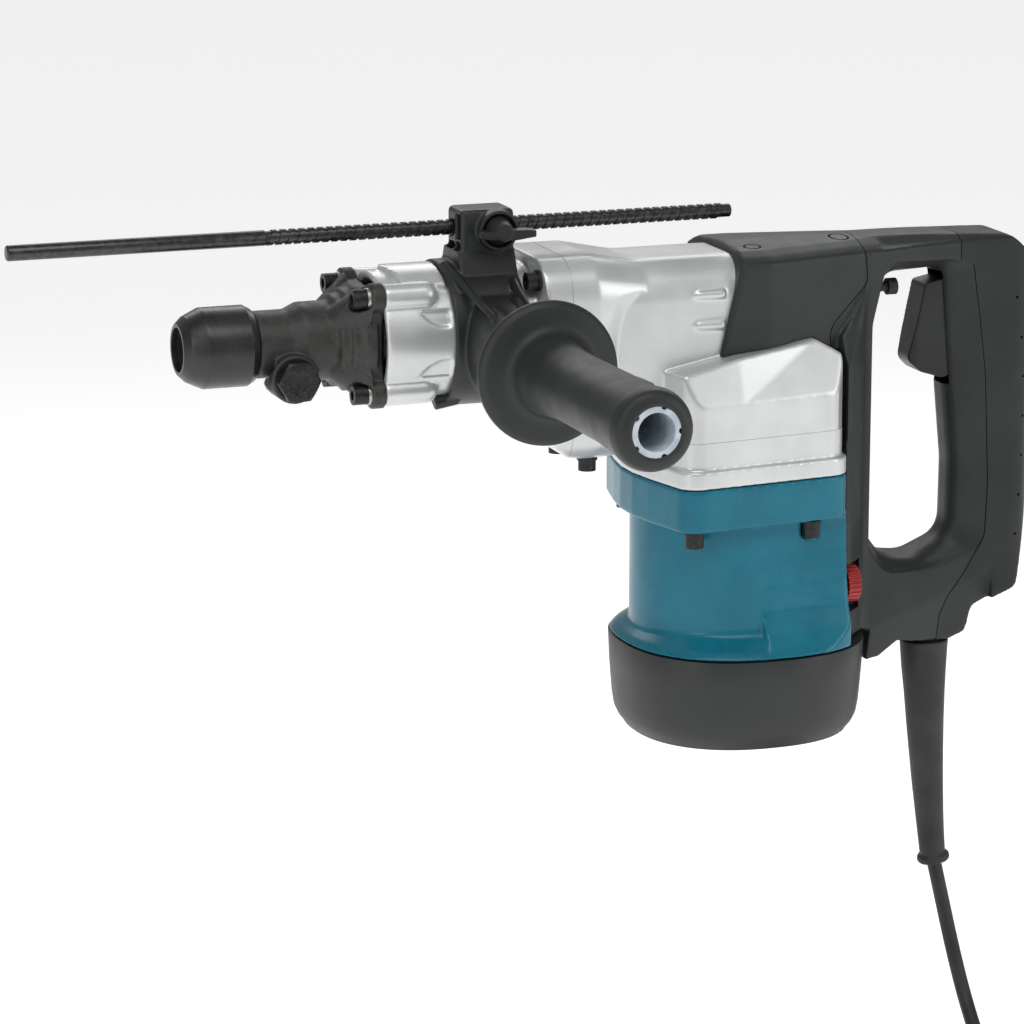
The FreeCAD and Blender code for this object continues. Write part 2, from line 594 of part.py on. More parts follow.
def make_handle(cover_outer):
    side = [(349, -7, 6), (366, 14, 8), (366, 38), (400, 37.2, 60), (452, 34.5, 14),
            (464, 24, 6), (463.5, 14, 10), (470, -40, 80), (470, -98, 80), (464, -158, 8),
            (441, -168, 4), (438, -188, 4), (428, -191), (398, -188), (386, -194, 4), (373, -198),
            (371.5, -198), (371.5, BASE_TOP + 0.5), (BODY_BACK, BASE_TOP + 0.5), (BODY_BACK, -18)]
    plan = plan_prism(mirrored([(BODY_BACK, -42, 0), (352, -40, 6), (367, -24, 12),
                                (398, -20, 40), (430, -17.5, 40), (462, -17, 12), (471, -6, 6)]),
                      -210, 50)
    solid = side_prism(side, -60, 60).common(plan).cut(cover_outer)
    opening = side_prism([(381, 17, 10), (427, 19, 8), (430, -20, 60), (427, -90, 60),
                          (428, -128, 14), (404, -137, 14), (384, -135, 16), (371, -118, 20),
                          (366, -70, 60), (366, -35, 50)], -60, 60)
    frame = cut(solid, opening)
    back = side_prism([(431, 60), (431, 27, 4), (440, 16, 10), (446, -28, 60), (448, -125, 20),
                       (436, -152, 6), (429, -172, 6), (429, -210), (500, -210), (500, 60)],
                      -60, 60)
    switch_room = block(446, 462, -13, 13, -54, 14)
    column_room = side_prism([(354, -30), (362, -30), (362, -120), (354, -120)], -30, 30)
    dial_room = cyl_x(DIAL_R + CLEAR + 0.5, 351, 362, DIAL_Y, DIAL_Z)
    trigger_slot = block(420, 446.5, -9.6, 9.6, -50, 16)
    pin_hole = cyl_y(2.5 - RUN_FIT, -16, 16, TRIGGER_PIVOT.x, TRIGGER_PIVOT.z)
    guard_hole = cyl_z(9.4, -200, -172, 414.5)
    screw_holes = [cyl_x(2.5, 372, 382, y, SCREW_TOP_Z).fuse(cyl_x(4.6, 381.5, 395, y, SCREW_TOP_Z))
                   for y in HANDLE_SCREW_Y]
    front = cut(frame, back, switch_room, column_room, dial_room, trigger_slot, pin_hole,
                guard_hole, *screw_holes)
    export("handle", front)
    cover = cut(frame.common(back), switch_room, trigger_slot)
    export("handle_cover", cover)

    screws = []
    for y in HANDLE_SCREW_Y:
        head = cyl_x(4.4, 381.5, 386.5, y, SCREW_TOP_Z)
        head = head.cut(hexagon_x(383.5, 387, 2.4, y, SCREW_TOP_Z))
        screws.append(head.fuse(cyl_x(2.5, 372, 381.5, y, SCREW_TOP_Z)))
    export("handle_screws", group(screws))


def make_controls():
    trigger = side_prism([(407, 10, 3), (402, -12, 30), (397.5, -31, 5), (405, -38, 6), (418, -42, 3),
                          (432, -36, 3), (433, 0, 4), (441, 1, 3), (441, 14, 3), (428, 14, 8)], -9, 9)
    pivot_room = cyl_y(2.5, -20, 20, TRIGGER_PIVOT.x, TRIGGER_PIVOT.z)
    export("trigger", cut(trigger, pivot_room))
    export("trigger_pin", cyl_y(2.5 - RUN_FIT, -16, 16, TRIGGER_PIVOT.x, TRIGGER_PIVOT.z))
    export("switch_module", block(447, 461.5, -12.5, 12.5, -50, 10))

    dial = cyl_x(DIAL_R, DIAL_X - DIAL_WIDTH / 2, DIAL_X + DIAL_WIDTH / 2, DIAL_Y, DIAL_Z)
    grooves = []
    for i in range(24):
        turn = math.radians(i * 15)
        grooves.append(cyl_x(0.8, 350, 364, DIAL_Y + DIAL_R * math.cos(turn),
                             DIAL_Z + DIAL_R * math.sin(turn)))
    export("speed_dial", cut(dial, *grooves))


# ---- side handle, depth rod and wing screw ------------------------------------------------
def make_side_handle():
    ring = tube_x(RING_R, NECK_R + CLEAR, RING_X0, RING_X1)
    column = block(145, 174, -15, 7, 33, 64.5)
    column = column.makeFillet(2.5, [e for e in column.Edges if e.BoundBox.ZLength < 0.1])
    foot = front_prism([(-22, 28), (14, 28), (7, 44), (-15, 44)], 143, 174)
    arm_root = Part.Wire(Part.Ellipse(V(ARM_X, -18, ARM_Z + 28), V(ARM_X + 17, -18, ARM_Z),
                                      V(ARM_X, -18, ARM_Z)).toShape())
    arm_end = Part.Wire(Part.makeCircle(18.5, V(ARM_X, -104, ARM_Z), Y_AXIS))
    arm = Part.makeLoft([arm_root, arm_end], True, True)
    stud = cyl_y(6, -126, -104, ARM_X, ARM_Z)
    boss = cyl_y(9.5, -16.5, -10, WING_X, ROD_Z)
    bracket = fuse(ring, column, foot, arm, stud, boss)
    bracket = cut(bracket, cyl_x(NECK_R + CLEAR, 120, 200), cyl_x(ROD_R + CLEAR, 140, 180, 0, ROD_Z),
                  cyl_y(3.1, -20, 0, WING_X, ROD_Z))
    export("side_bracket", bracket)

    grip = turned_y([
        (GRIP_START, 6.3), (GRIP_START, 30), (-107, 36.2, 1), (-111, 36.8, 2), (-113.5, 33, 3),
        (-114.5, 21, 6), (-128, 18.5, 30), (-150, 17.2, 80), (-205, 17.2, 120), (-232, 18.6, 60),
        (-246, 20.3, 8), (-253, 19, 5), (GRIP_END, 14), (GRIP_END, 12.1), (-110, 12.1), (-110, 6.3)],
        ARM_X, ARM_Z)
    export("side_grip", grip)
    core = turned_y([(-110, 6.3), (-110, 12.1), (GRIP_END - 1, 12.1), (GRIP_END - 1, 9.3),
                     (-130, 9.3), (-130, 6.3)], ARM_X, ARM_Z)
    export("grip_core", core)

    profile = [(ROD_FRONT, 0), (ROD_FRONT, 3.4), (ROD_FRONT + 0.6, ROD_R), (ROD_RIBS_FROM, ROD_R)]
    count = int((ROD_BACK - ROD_RIBS_FROM) / RIB_PITCH)
    for i in range(count):
        x = ROD_RIBS_FROM + i * RIB_PITCH
        profile += [(x + 0.5, 3.45), (x + 1.6, 3.45), (x + 2.2, ROD_R), (x + RIB_PITCH - 0.2, ROD_R)]
    profile += [(ROD_BACK - 0.5, ROD_R), (ROD_BACK, 3.4), (ROD_BACK, 0)]
    rod = turned_x(profile)
    rod.translate(V(0, 0, ROD_Z))
    export("depth_rod", rod)

    hub = turned_y([(-16.8, 0), (-16.8, 7.6), (-19, 7.6), (-26, 5.2, 2), (-29, 4.6, 1), (-29, 0)],
                   WING_X, ROD_Z)
    wing = front_prism([(-28, ROD_Z - 5, 2), (-20, ROD_Z - 4, 1), (-20, ROD_Z + 1, 1),
                        (-28, ROD_Z + 2, 2)], WING_X - 13, WING_X + 18)
    screw = fuse(hub, wing, cyl_y(3, -17, -4.4, WING_X, ROD_Z))
    export("wing_screw", screw)


# ---- lead ----------------------------------------------------------------------------------
CORD_ROUTE = [
    (423.6, 0, -313.6), (429.5, 0, -338), (434, -4, -363), (436, -16, -387), (434.5, -37, -405),
    (430.5, -62, -416), (424, -88, -422)]


def tube_along(points, radius):
    """Straight runs joined by tangent arcs, swept with a round section."""
    points = [V(*p) for p in points]
    edges = []
    last = points[0]
    radii = []
    for before, here, after in zip(points, points[1:], points[2:]):
        u = (before - here)
        v = (after - here)
        shorter = min(u.Length, v.Length)
        u.normalize()
        v.normalize()
        half_turn = (math.pi - u.getAngle(v)) / 2
        bend = 0.45 * shorter / math.tan(half_turn)
        reach = 0.45 * shorter
        start, end = here + u * reach, here + v * reach
        middle = here + (u + v).normalize() * (bend / math.cos(half_turn) - bend)
        edges.append(Part.makeLine(last, start))
        edges.append(Part.Arc(start, middle, end).toShape())
        last = end
        radii.append(round(bend, 1))
    edges.append(Part.makeLine(last, points[-1]))
    path = Part.Wire(edges)
    circle = Part.Wire(Part.makeCircle(radius, points[0], points[1] - points[0]))
    solid = path.makePipeShell([circle], True, False)
    print("lead: radii", radii, "length", round(path.Length, 1),
          "volume share", round(solid.Volume / (path.Length * math.pi * radius ** 2), 4))
    return solid


def make_lead():
    lean = V(0.17, 0, -1)             # way the guard's lower end points
    stations = ((414.6, -191.8, 13.0, 0), (415.5, -215, 11.2, 0.05), (417.4, -250, 9.4, 0.09),
                (420.2, -285, 7.8, 0.13), (422.8, -309, 7.0, 0.17))
    wires = [Part.Wire(Part.makeCircle(r, V(x, 0, z), V(t, 0, -1))) for x, z, r, t in stations]
    sleeve = Part.makeLoft(wires, True, False)
    root = cyl_z(9.4, -192, -173, 414.5)
    collar = Part.makeCylinder(9.0, 4.6, V(422.8, 0, -309), lean)
    export("cord_guard", fuse(root, sleeve, collar))
    export("cord", tube_along(CORD_ROUTE, CORD_R))

    low = FLOOR_Z + TIE_THICK
    inner, outer = COIL_MEAN_R - COIL_WIDE / 2, COIL_MEAN_R + COIL_WIDE / 2
    coil = turned_z([(inner, low, 6), (outer, low, 6), (outer, low + COIL_HIGH, 6),
                     (inner, low + COIL_HIGH, 6)], COIL_X, COIL_Y)
    export("cord_coil", coil)

    grown = turned_z([(inner - TIE_THICK, FLOOR_Z, 7), (outer + TIE_THICK, FLOOR_Z, 7),
                      (outer + TIE_THICK, low + COIL_HIGH + TIE_THICK, 7),
                      (inner - TIE_THICK, low + COIL_HIGH + TIE_THICK, 7)], COIL_X, COIL_Y)
    band = block(COIL_X - 80, COIL_X - 20, COIL_Y - 8, COIL_Y + 8, FLOOR_Z - 5, FLOOR_Z + 60)
    export("coil_tie", cut(grown, coil).common(band))

    plug_y, plug_z = COIL_Y - COIL_MEAN_R, low + COIL_HIGH + 12
    body = block(352, 390, plug_y - 17, plug_y + 17, plug_z - 12, plug_z + 12)
    body = body.makeFillet(6, [e for e in body.Edges if e.BoundBox.XLength > 30])
    relief = Part.makeCone(8, 5, 24, V(388, plug_y, plug_z), X_AXIS)
    pins = [cyl_x(2.4, 333, 354, plug_y + side * 9.5, plug_z) for side in (-1, 1)]
    export("plug", fuse(body, relief, *pins))


def main():
    os.makedirs("parts", exist_ok=True)
    make_nose()
    make_barrel()
    make_hammer()
    make_bevel_shaft()
    make_crank()
    housing_outer = make_gear_housing()
    make_motor()
    cover_outer = make_rear_cover(housing_outer)
    make_handle(cover_outer)
    make_controls()
    make_side_handle()
    make_lead()


main()
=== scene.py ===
import bpy
import math
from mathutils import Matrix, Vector


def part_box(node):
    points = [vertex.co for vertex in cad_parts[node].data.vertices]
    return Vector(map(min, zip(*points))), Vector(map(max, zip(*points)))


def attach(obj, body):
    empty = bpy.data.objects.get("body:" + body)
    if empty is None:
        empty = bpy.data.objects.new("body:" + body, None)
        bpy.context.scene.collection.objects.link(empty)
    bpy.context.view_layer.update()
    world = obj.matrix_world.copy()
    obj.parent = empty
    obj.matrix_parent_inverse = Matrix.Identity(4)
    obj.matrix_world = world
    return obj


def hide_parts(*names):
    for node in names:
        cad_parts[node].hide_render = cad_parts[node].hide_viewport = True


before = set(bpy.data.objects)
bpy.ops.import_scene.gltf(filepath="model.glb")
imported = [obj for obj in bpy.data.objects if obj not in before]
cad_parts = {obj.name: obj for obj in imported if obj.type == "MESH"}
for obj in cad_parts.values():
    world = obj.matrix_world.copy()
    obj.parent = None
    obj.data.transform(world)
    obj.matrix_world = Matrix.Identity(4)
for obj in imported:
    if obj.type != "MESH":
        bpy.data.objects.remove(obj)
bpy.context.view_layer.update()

# ---- Where the tool lies ---------------------------------------------
# Places are given in millimetres from the middle of the nose's front end, with the spindle line
# along +X. The nose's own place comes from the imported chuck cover.
MM = 0.001
cover_low, cover_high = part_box("chuck_cover")
NOSE = Vector((cover_low[0], 0.0, (cover_low[2] + cover_high[2]) / 2))


def at(x, y, z):
    return NOSE + Vector((x, y, z)) * MM


# ---- Camera and studio -----------------------------------------------
# A long lens looks from ahead of the nose and a little above. Four soft lights stand over the front,
# at either side and behind, and the pale floor glows a little, so that it stays white far out.
LENS, SENSOR_WIDTH = 153.63, 36.0
CAMERA_PLACE = (-1.0164057, -2.0729875, 0.4873127)
SKY_STRENGTH, FLOOR_GLOW = 0.34, 0.55
WHITE = (1.0, 1.0, 1.0, 1.0)
AZIMUTH, ELEVATION = math.radians(-19.8), math.radians(13.4)
back = Vector((math.sin(AZIMUTH) * math.cos(ELEVATION), -math.cos(AZIMUTH) * math.cos(ELEVATION),
               math.sin(ELEVATION)))
bpy.ops.object.camera_add(location=CAMERA_PLACE)
camera = bpy.context.object
camera.rotation_mode = "QUATERNION"
camera.rotation_quaternion = (-back).to_track_quat("-Z", "Y")
camera.data.lens, camera.data.sensor_width = LENS, SENSOR_WIDTH
bpy.context.scene.camera = camera
bpy.context.scene.view_settings.view_transform = "Standard"


def softbox(place, target, size, power):
    """A rectangular light at place that faces target; size is its width and height in metres."""
    bpy.ops.object.light_add(type="AREA", location=place)
    light = bpy.context.object
    light.data.shape = "RECTANGLE"
    light.data.size, light.data.size_y = size
    light.data.energy = power
    way = Vector(target) - Vector(place)
    light.rotation_mode = "QUATERNION"
    light.rotation_quaternion = way.to_track_quat("-Z", "Y")


softbox((-0.5, -0.9, 1.5), (-0.15, 0.0, 0.0), (1.5, 0.8), 11.0)
softbox((-1.6, -0.9, 0.5), (-0.2, 0.0, 0.0), (0.5, 1.2), 5.0)
softbox((1.2, -1.3, 0.5), (-0.1, 0.0, -0.05), (0.5, 1.2), 6.5)
softbox((0.2, 1.3, 1.0), (-0.1, 0.0, 0.0), (1.8, 0.6), 8.0)

world = bpy.data.worlds.new("studio")
bpy.context.scene.world = world
world.use_nodes = True
world.node_tree.nodes["Background"].inputs["Color"].default_value = WHITE
world.node_tree.nodes["Background"].inputs["Strength"].default_value = SKY_STRENGTH

FLOOR_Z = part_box("coil_tie")[0][2]
bpy.ops.mesh.primitive_plane_add(size=14.0, location=(0.0, 3.0, FLOOR_Z - 0.0002))
floor = bpy.context.object
floor.name = "floor"
paper = bpy.data.materials.new("floor paper")
paper.use_nodes = True
for socket, value in (("Base Color", (0.93, 0.93, 0.93, 1.0)), ("Roughness", 0.9), ("Emission Color", WHITE),
                      ("Emission Strength", FLOOR_GLOW)):
    paper.node_tree.nodes["Principled BSDF"].inputs[socket].default_value = value
floor.data.materials.append(paper)


# ---- Lead ------------------------------------------------------------
# The mains lead is 8 mm rubber flex. It hangs from the handle and the spare length lies under the
# tool in a tied coil of sixteen turns, four beside each other and four deep, with its plug on top.
class Shade:
    """An output of a material's nodes. Arithmetic on it adds Math nodes."""

    def __init__(self, tree, socket):
        self.tree, self.socket = tree, socket

    def node(self, kind, settings=None, inputs=None, output=0):
        made = self.tree.nodes.new(kind)
        for name, value in (settings or {}).items():
            setattr(made, name, value)
        for name, value in (inputs or {}).items():
            if isinstance(value, Shade):
                self.tree.links.new(value.socket, made.inputs[name])
            else:
                made.inputs[name].default_value = value
        return Shade(self.tree, made.outputs[output])

    def __add__(self, other):
        return self.node("ShaderNodeMath", {"operation": "ADD"}, {0: self, 1: other})

    def __mul__(self, other):
        return self.node("ShaderNodeMath", {"operation": "MULTIPLY"}, {0: self, 1: other})

    def __rsub__(self, other):
        return self.node("ShaderNodeMath", {"operation": "SUBTRACT"}, {0: other, 1: self})

    __radd__, __rmul__ = __add__, __mul__

    def between(self, low, high, start=0.0, end=1.0):
        """This value eased from start to end while it goes from low to high."""
        return self.node("ShaderNodeMapRange", {"interpolation_type": "SMOOTHSTEP"},
                         {"Value": self, "From Min": low, "From Max": high, "To Min": start, "To Max": end})

    def noise(self, scale, detail=2.0, rough=0.5):
        return self.node("ShaderNodeTexNoise", None,
                         {"Vector": self, "Scale": scale, "Detail": detail, "Roughness": rough})

    def mixed(self, dark, light):
        """The colour that goes from dark to light as this value goes from 0 to 1."""
        return self.node("ShaderNodeMix", {"data_type": "RGBA"},
                         {"Factor": self, 6: (*dark, 1.0), 7: (*light, 1.0)}, output=2)

    def bump(self, depth, normal=None):
        """A normal from this height, where a height of 1 stands depth metres proud."""
        inputs = {"Height": self, "Distance": depth, "Strength": 1.0}
        if normal is not None:
            inputs["Normal"] = normal
        return self.node("ShaderNodeBump", None, inputs)


def new_finish(name, **constants):
    """A material with its shader's constant sockets set; also returns the shader and the place."""
    material = bpy.data.materials.new(name)
    material.use_nodes = True
    tree = material.node_tree
    shader = tree.nodes["Principled BSDF"]
    for socket, value in constants.items():
        shader.inputs[socket.replace("_", " ")].default_value = value
    place = Shade(tree, tree.nodes.new("ShaderNodeTexCoord").outputs["Object"])
    return material, shader, place


def plug_in(shader, **links):
    for socket, value in links.items():
        value.tree.links.new(value.socket, shader.inputs[socket.replace("_", " ")])


def grained(name, dark, light, rough, patch, grain, depth, **constants):
    """A finish whose colour and gloss drift over patches and whose surface has a fine grain.

    rough is the lowest and highest roughness, patch and grain are counts per metre, and depth is
    the grain's height in metres.
    """
    material, shader, place = new_finish(name, **constants)
    drift = place.noise(patch, 3.0).between(0.35, 0.65)
    wipe = place.noise(patch * 0.37, 4.0, 0.6).between(0.3, 0.7, rough[0], rough[1])
    plug_in(shader, Base_Color=drift.mixed(dark, light), Roughness=wipe,
            Normal=place.noise(grain, 3.0, 0.6).bump(depth))
    return material


def alone(piece):
    """Selects only this piece and makes it the active one."""
    bpy.ops.object.select_all(action="DESELECT")
    piece.select_set(True)
    bpy.context.view_layer.objects.active = piece
    return piece


def worked(piece, kind, **settings):
    """Puts a modifier on the piece and applies it."""
    alone(piece)
    modifier = piece.modifiers.new("work", kind)
    for name, value in settings.items():
        setattr(modifier, name, value)
    bpy.ops.object.modifier_apply(modifier=modifier.name)
    return piece


def fused(body, *others):
    return combined("UNION", body, others)


def carved(body, *others):
    return combined("DIFFERENCE", body, others)


def shared(body, *others):
    return combined("INTERSECT", body, others)


def combined(operation, body, others):
    for other in others:
        worked(body, "BOOLEAN", operation=operation, solver="MANIFOLD", object=other)
        bpy.data.objects.remove(other)
    return body


def copied(piece):
    twin = piece.copy()
    twin.data = piece.data.copy()
    bpy.context.collection.objects.link(twin)
    return twin


AXES = {"x": Vector((1, 0, 0)), "y": Vector((0, 1, 0)), "z": Vector((0, 0, 1))}


def loop(places, filled=True):
    """A flat face with its corners at the places in metres, or only its edge."""
    bpy.ops.object.select_all(action="DESELECT")
    bpy.ops.mesh.primitive_circle_add(vertices=len(places), fill_type="NGON" if filled else "NOTHING")
    for vertex, place in zip(bpy.context.object.data.vertices, places):
        vertex.co = place
    return bpy.context.object


def mended(piece):
    """Merges doubles, drops stray edges, closes open ends and turns the faces outwards."""
    alone(piece)
    bpy.ops.object.mode_set(mode="EDIT")
    bpy.ops.mesh.select_all(action="SELECT")
    bpy.ops.mesh.remove_doubles(threshold=0.000002)
    bpy.ops.mesh.dissolve_degenerate(threshold=0.000002)
    bpy.ops.mesh.select_all(action="SELECT")
    bpy.ops.mesh.delete_loose(use_verts=True, use_edges=True, use_faces=False)
    bpy.ops.mesh.select_all(action="SELECT")
    bpy.ops.mesh.fill_holes(sides=0)
    bpy.ops.mesh.select_all(action="SELECT")
    bpy.ops.mesh.normals_make_consistent(inside=False)
    bpy.ops.object.mode_set(mode="OBJECT")
    return piece


def ring_of(centre, radius, way=(0, 0, 1), count=64):
    """Places in metres round a circle that faces the way given."""
    turn = Vector(way).to_track_quat("Z", "Y")
    return [at(*centre) + turn @ Vector((math.cos(a), math.sin(a), 0.0)) * radius * MM
            for a in (2 * math.pi * k / count for k in range(count))]


def loft(loops):
    """A closed solid through loops of as many places each."""
    rings = [loop(places, filled=False) for places in loops]
    alone(rings[0])
    for ring in rings:
        ring.select_set(True)
    bpy.ops.object.join()
    bpy.ops.object.mode_set(mode="EDIT")
    bpy.ops.mesh.select_all(action="SELECT")
    bpy.ops.mesh.bridge_edge_loops()
    bpy.ops.object.mode_set(mode="OBJECT")
    return mended(bpy.context.object)


def block(x0, x1, y0, y1, z0, z1):
    bpy.ops.object.select_all(action="DESELECT")
    bpy.ops.mesh.primitive_cube_add(size=1.0, location=at((x0 + x1) / 2, (y0 + y1) / 2, (z0 + z1) / 2),
                                    scale=((x1 - x0) * MM, (y1 - y0) * MM, (z1 - z0) * MM))
    bpy.ops.object.transform_apply(location=True, rotation=True, scale=True)
    return bpy.context.object


def rod(radius, start, end, tip=None, sides=64):
    """A round bar, or with a tip radius a cone, between two places in millimetres."""
    start, end = at(*start), at(*end)
    way = end - start
    bpy.ops.object.select_all(action="DESELECT")
    bpy.ops.mesh.primitive_cone_add(vertices=sides, radius1=radius * MM,
                                    radius2=(radius if tip is None else tip) * MM,
                                    depth=way.length, location=(start + end) / 2,
                                    rotation=way.to_track_quat("Z", "Y").to_euler())
    bpy.ops.object.transform_apply(location=True, rotation=True, scale=True)
    return bpy.context.object


def moulded(piece, mesh, passes, keep=1.0):
    """Melts joints and edges as in a casting; mesh is the size of its facets in millimetres."""
    worked(piece, "REMESH", mode="VOXEL", voxel_size=mesh * MM)
    worked(piece, "SMOOTH", factor=0.5, iterations=passes)
    if keep < 1.0:
        worked(piece, "DECIMATE", ratio=keep)
    bpy.ops.object.shade_smooth()
    return piece


def creased(degrees):
    """Smooths the active piece's shading, except over edges sharper than this."""
    bpy.ops.object.shade_smooth_by_angle(angle=math.radians(degrees))


def dressed(piece, name, finish, body, slot, *nodes):
    """Names a piece, gives it its finish and a body to ride on, and hides what it stands for."""
    piece.name = name
    piece.data.materials.clear()
    piece.data.materials.append(finish)
    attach(piece, body)
    if nodes:
        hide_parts(*nodes)
    return piece


def node_finish(finish, *nodes):
    """Gives CAD nodes that keep their shape a finish."""
    for name in nodes:
        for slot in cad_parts[name].material_slots:
            slot.material = finish


CORD_R, CORD_LENGTH = 4.0, 5.2
GUARD_TIP = (423.6, 0, -313.6)
HANG = [GUARD_TIP, (429.5, 0, -338), (434, -4, -363), (436, -16, -387), (434.5, -37, -405),
        (430.5, -62, -416), (424, -88, -422)]
COIL_X, COIL_Y = 370.0, -70.0
TURNS, TURN_POINTS = 16, 16
TURN_GAP, LAYER_GAP = 8.1, 8.0
OUTER_TURN_R, TOP_LAYER = 59.3, -420.5
START_ANGLE = math.radians(-42.0)


def turn_place(index):
    """Radius and height of a coil turn: four deep, then one further in and back up again."""
    column, depth = divmod(index, 4)
    level = depth if column % 2 == 0 else 3 - depth
    return OUTER_TURN_R - column * TURN_GAP, TOP_LAYER - level * LAYER_GAP


route = list(HANG)
for k in range(TURNS * TURN_POINTS + 6):
    index, share = divmod(k, TURN_POINTS)
    here, after = turn_place(min(index, TURNS - 1)), turn_place(min(index + 1, TURNS - 1))
    ease = max(0.0, share / TURN_POINTS - 0.8) / 0.2
    ease = ease * ease * (3 - 2 * ease)
    radius = (here[0] + (after[0] - here[0]) * ease) / math.cos(math.pi / TURN_POINTS)
    angle = START_ANGLE - 2 * math.pi * k / TURN_POINTS
    route.append((COIL_X + radius * math.cos(angle), COIL_Y + radius * math.sin(angle),
                  here[1] + (after[1] - here[1]) * ease))
for turn, radius, height in ((-205, 37, -417.5), (-235, 41, -413.5), (-262, 46, -412.5),
                             (-290, 51, -412), (-318, 56.5, -411), (-342, 61.5, -409.5)):
    angle = math.radians(turn)
    route.append((COIL_X + radius * math.cos(angle), COIL_Y + radius * math.sin(angle), height))
route += [(435, -72, -408), (433, -91, -406.4), (425, -106, -405.2), (412, -115.5, -404.6),
          (398, -117, -404.5)]

curve = bpy.data.curves.new("lead", "CURVE")
curve.dimensions = "3D"
curve.bevel_depth, curve.bevel_resolution, curve.resolution_u = CORD_R * MM, 5, 5
curve.use_fill_caps = True
spline = curve.splines.new("NURBS")
spline.points.add(len(route) - 1)
for point, place in zip(spline.points, route):
    point.co = (*at(*place), 1.0)
spline.order_u = 3
spline.use_endpoint_u = True
lead = bpy.data.objects.new("lead", curve)
bpy.context.collection.objects.link(lead)
lead_rubber = grained("lead rubber", (0.012, 0.012, 0.013), (0.02, 0.02, 0.021), (0.45, 0.62), 90.0,
                      2600.0, 0.00004)
dressed(lead, "lead", lead_rubber, "gear_case", "lead_rubber", "cord", "cord_coil")

# The plug is moulded on, with a ribbed relief behind it and two round brass pins ahead.
plug_y, plug_z = -117.0, -404.5
shell = loft([[at(x, plug_y + a * wide, plug_z + b * high) for a, b in
               ((math.copysign(abs(math.cos(t)) ** 0.5, math.cos(t)),
                 math.copysign(abs(math.sin(t)) ** 0.5, math.sin(t)))
                for t in (2 * math.pi * k / 48 for k in range(48)))]
              for x, wide, high in ((352, 15.5, 10.5), (353, 16.6, 11.6), (370, 17, 12), (381, 15.5, 11),
                                    (388, 10, 9.5), (390, 8.2, 8.2))])
relief = rod(8.0, (387, plug_y, plug_z), (412, plug_y, plug_z), tip=5.2)
grooves = [carved(rod(10.0, (x, plug_y, plug_z), (x + 1.6, plug_y, plug_z)),
                  rod(5.6, (x - 1, plug_y, plug_z), (x + 3, plug_y, plug_z)))
           for x in (392, 396.5, 401, 405.5)]
plug = moulded(carved(fused(shell, relief), *grooves), 0.55, 4)
plug_rubber = grained("plug rubber", (0.011, 0.011, 0.012), (0.019, 0.019, 0.02), (0.42, 0.55), 120.0,
                      3200.0, 0.00003)
dressed(plug, "plug_body", plug_rubber, "gear_case", "plug_body", "plug")
pins = fused(*[rod(2.4, (334.5, plug_y + side, plug_z), (354, plug_y + side, plug_z))
               for side in (-9.5, 9.5)],
             *[rod(1.5, (333.1, plug_y + side, plug_z), (334.6, plug_y + side, plug_z), tip=2.4)
               for side in (-9.5, 9.5)])
brass = grained("brass", (0.55, 0.38, 0.14), (0.66, 0.47, 0.2), (0.22, 0.36), 300.0, 2200.0, 0.000006,
                Metallic=1.0)
dressed(pins, "plug_pins", brass, "gear_case", "brush_brass")
creased(35)

# The guard is one tapering rubber sleeve that leans back a little and ends in a rolled collar.
guard_line = ((414.6, -186.3, 13.2, 0.0), (414.6, -191.9, 12.8, 0.0), (414.9, -203, 12.1, 0.03),
              (415.5, -215, 11.2, 0.05), (416.3, -232, 10.3, 0.07), (417.4, -250, 9.4, 0.09),
              (418.7, -268, 8.6, 0.11), (420.2, -285, 7.8, 0.13), (421.5, -298, 7.3, 0.15),
              (422.8, -309.5, 7.0, 0.17))
guard = loft([ring_of((x, 0, z), r, (lean, 0, -1)) for x, z, r, lean in guard_line])
collar = loft([ring_of((422.8 + 0.17 * s, 0, -309 - s), r, (0.17, 0, -1))
               for s, r in ((-0.4, 6.5), (0.2, 8.2), (1.3, 8.95), (3.3, 8.95), (4.3, 8.2), (4.5, 6.0))])
root = rod(9.4, (414.5, 0, -173), (414.5, 0, -193))
guard = moulded(fused(guard, collar, root), 0.6, 5)
guard_rubber = grained("guard rubber", (0.012, 0.012, 0.013), (0.02, 0.02, 0.021), (0.5, 0.66), 60.0,
                       2400.0, 0.00005)
dressed(guard, "cord_guard_sleeve", guard_rubber, "gear_case", "grip_rubber", "cord_guard")
node_finish(grained("tie webbing", (0.01, 0.01, 0.011), (0.03, 0.03, 0.032), (0.8, 0.95), 900.0, 2400.0,
                    0.0003), "coil_tie")


# ---- Chuck cover and tool holder -------------------------------------
# A smooth black sleeve that slides back against its spring to let a bit go. It is turned with a
# blunt nose, a long cone and a chamfer at the back; the steel holder shows in its mouth.
def rounded(points, step=9.0):
    """The corners of an outline; a third value rounds that corner, with a place every few degrees."""
    places = []
    for i, point in enumerate(points):
        here = Vector(point[:2])
        if len(point) < 3:
            places.append(here)
            continue
        u = (Vector(points[i - 1][:2]) - here).normalized()
        v = (Vector(points[(i + 1) % len(points)][:2]) - here).normalized()
        half = u.angle(v) / 2
        centre = here + (u + v).normalized() * (point[2] / math.sin(half))
        first = here + u * (point[2] / math.tan(half)) - centre
        last = here + v * (point[2] / math.tan(half)) - centre
        sweep = math.atan2(first.cross(last), first.dot(last))
        steps = max(2, math.ceil(abs(math.degrees(sweep)) / step))
        for k in range(steps + 1):
            c, s = math.cos(sweep * k / steps), math.sin(sweep * k / steps)
            places.append(centre + Vector((first.x * c - first.y * s, first.x * s + first.y * c)))
    return places


def spread(axis, along, pair):
    """The place of an outline's pair of values, along the axis that the outline faces."""
    a, b = pair
    return at(*{"x": (along, a, b), "y": (a, along, b), "z": (a, b, along)}[axis])


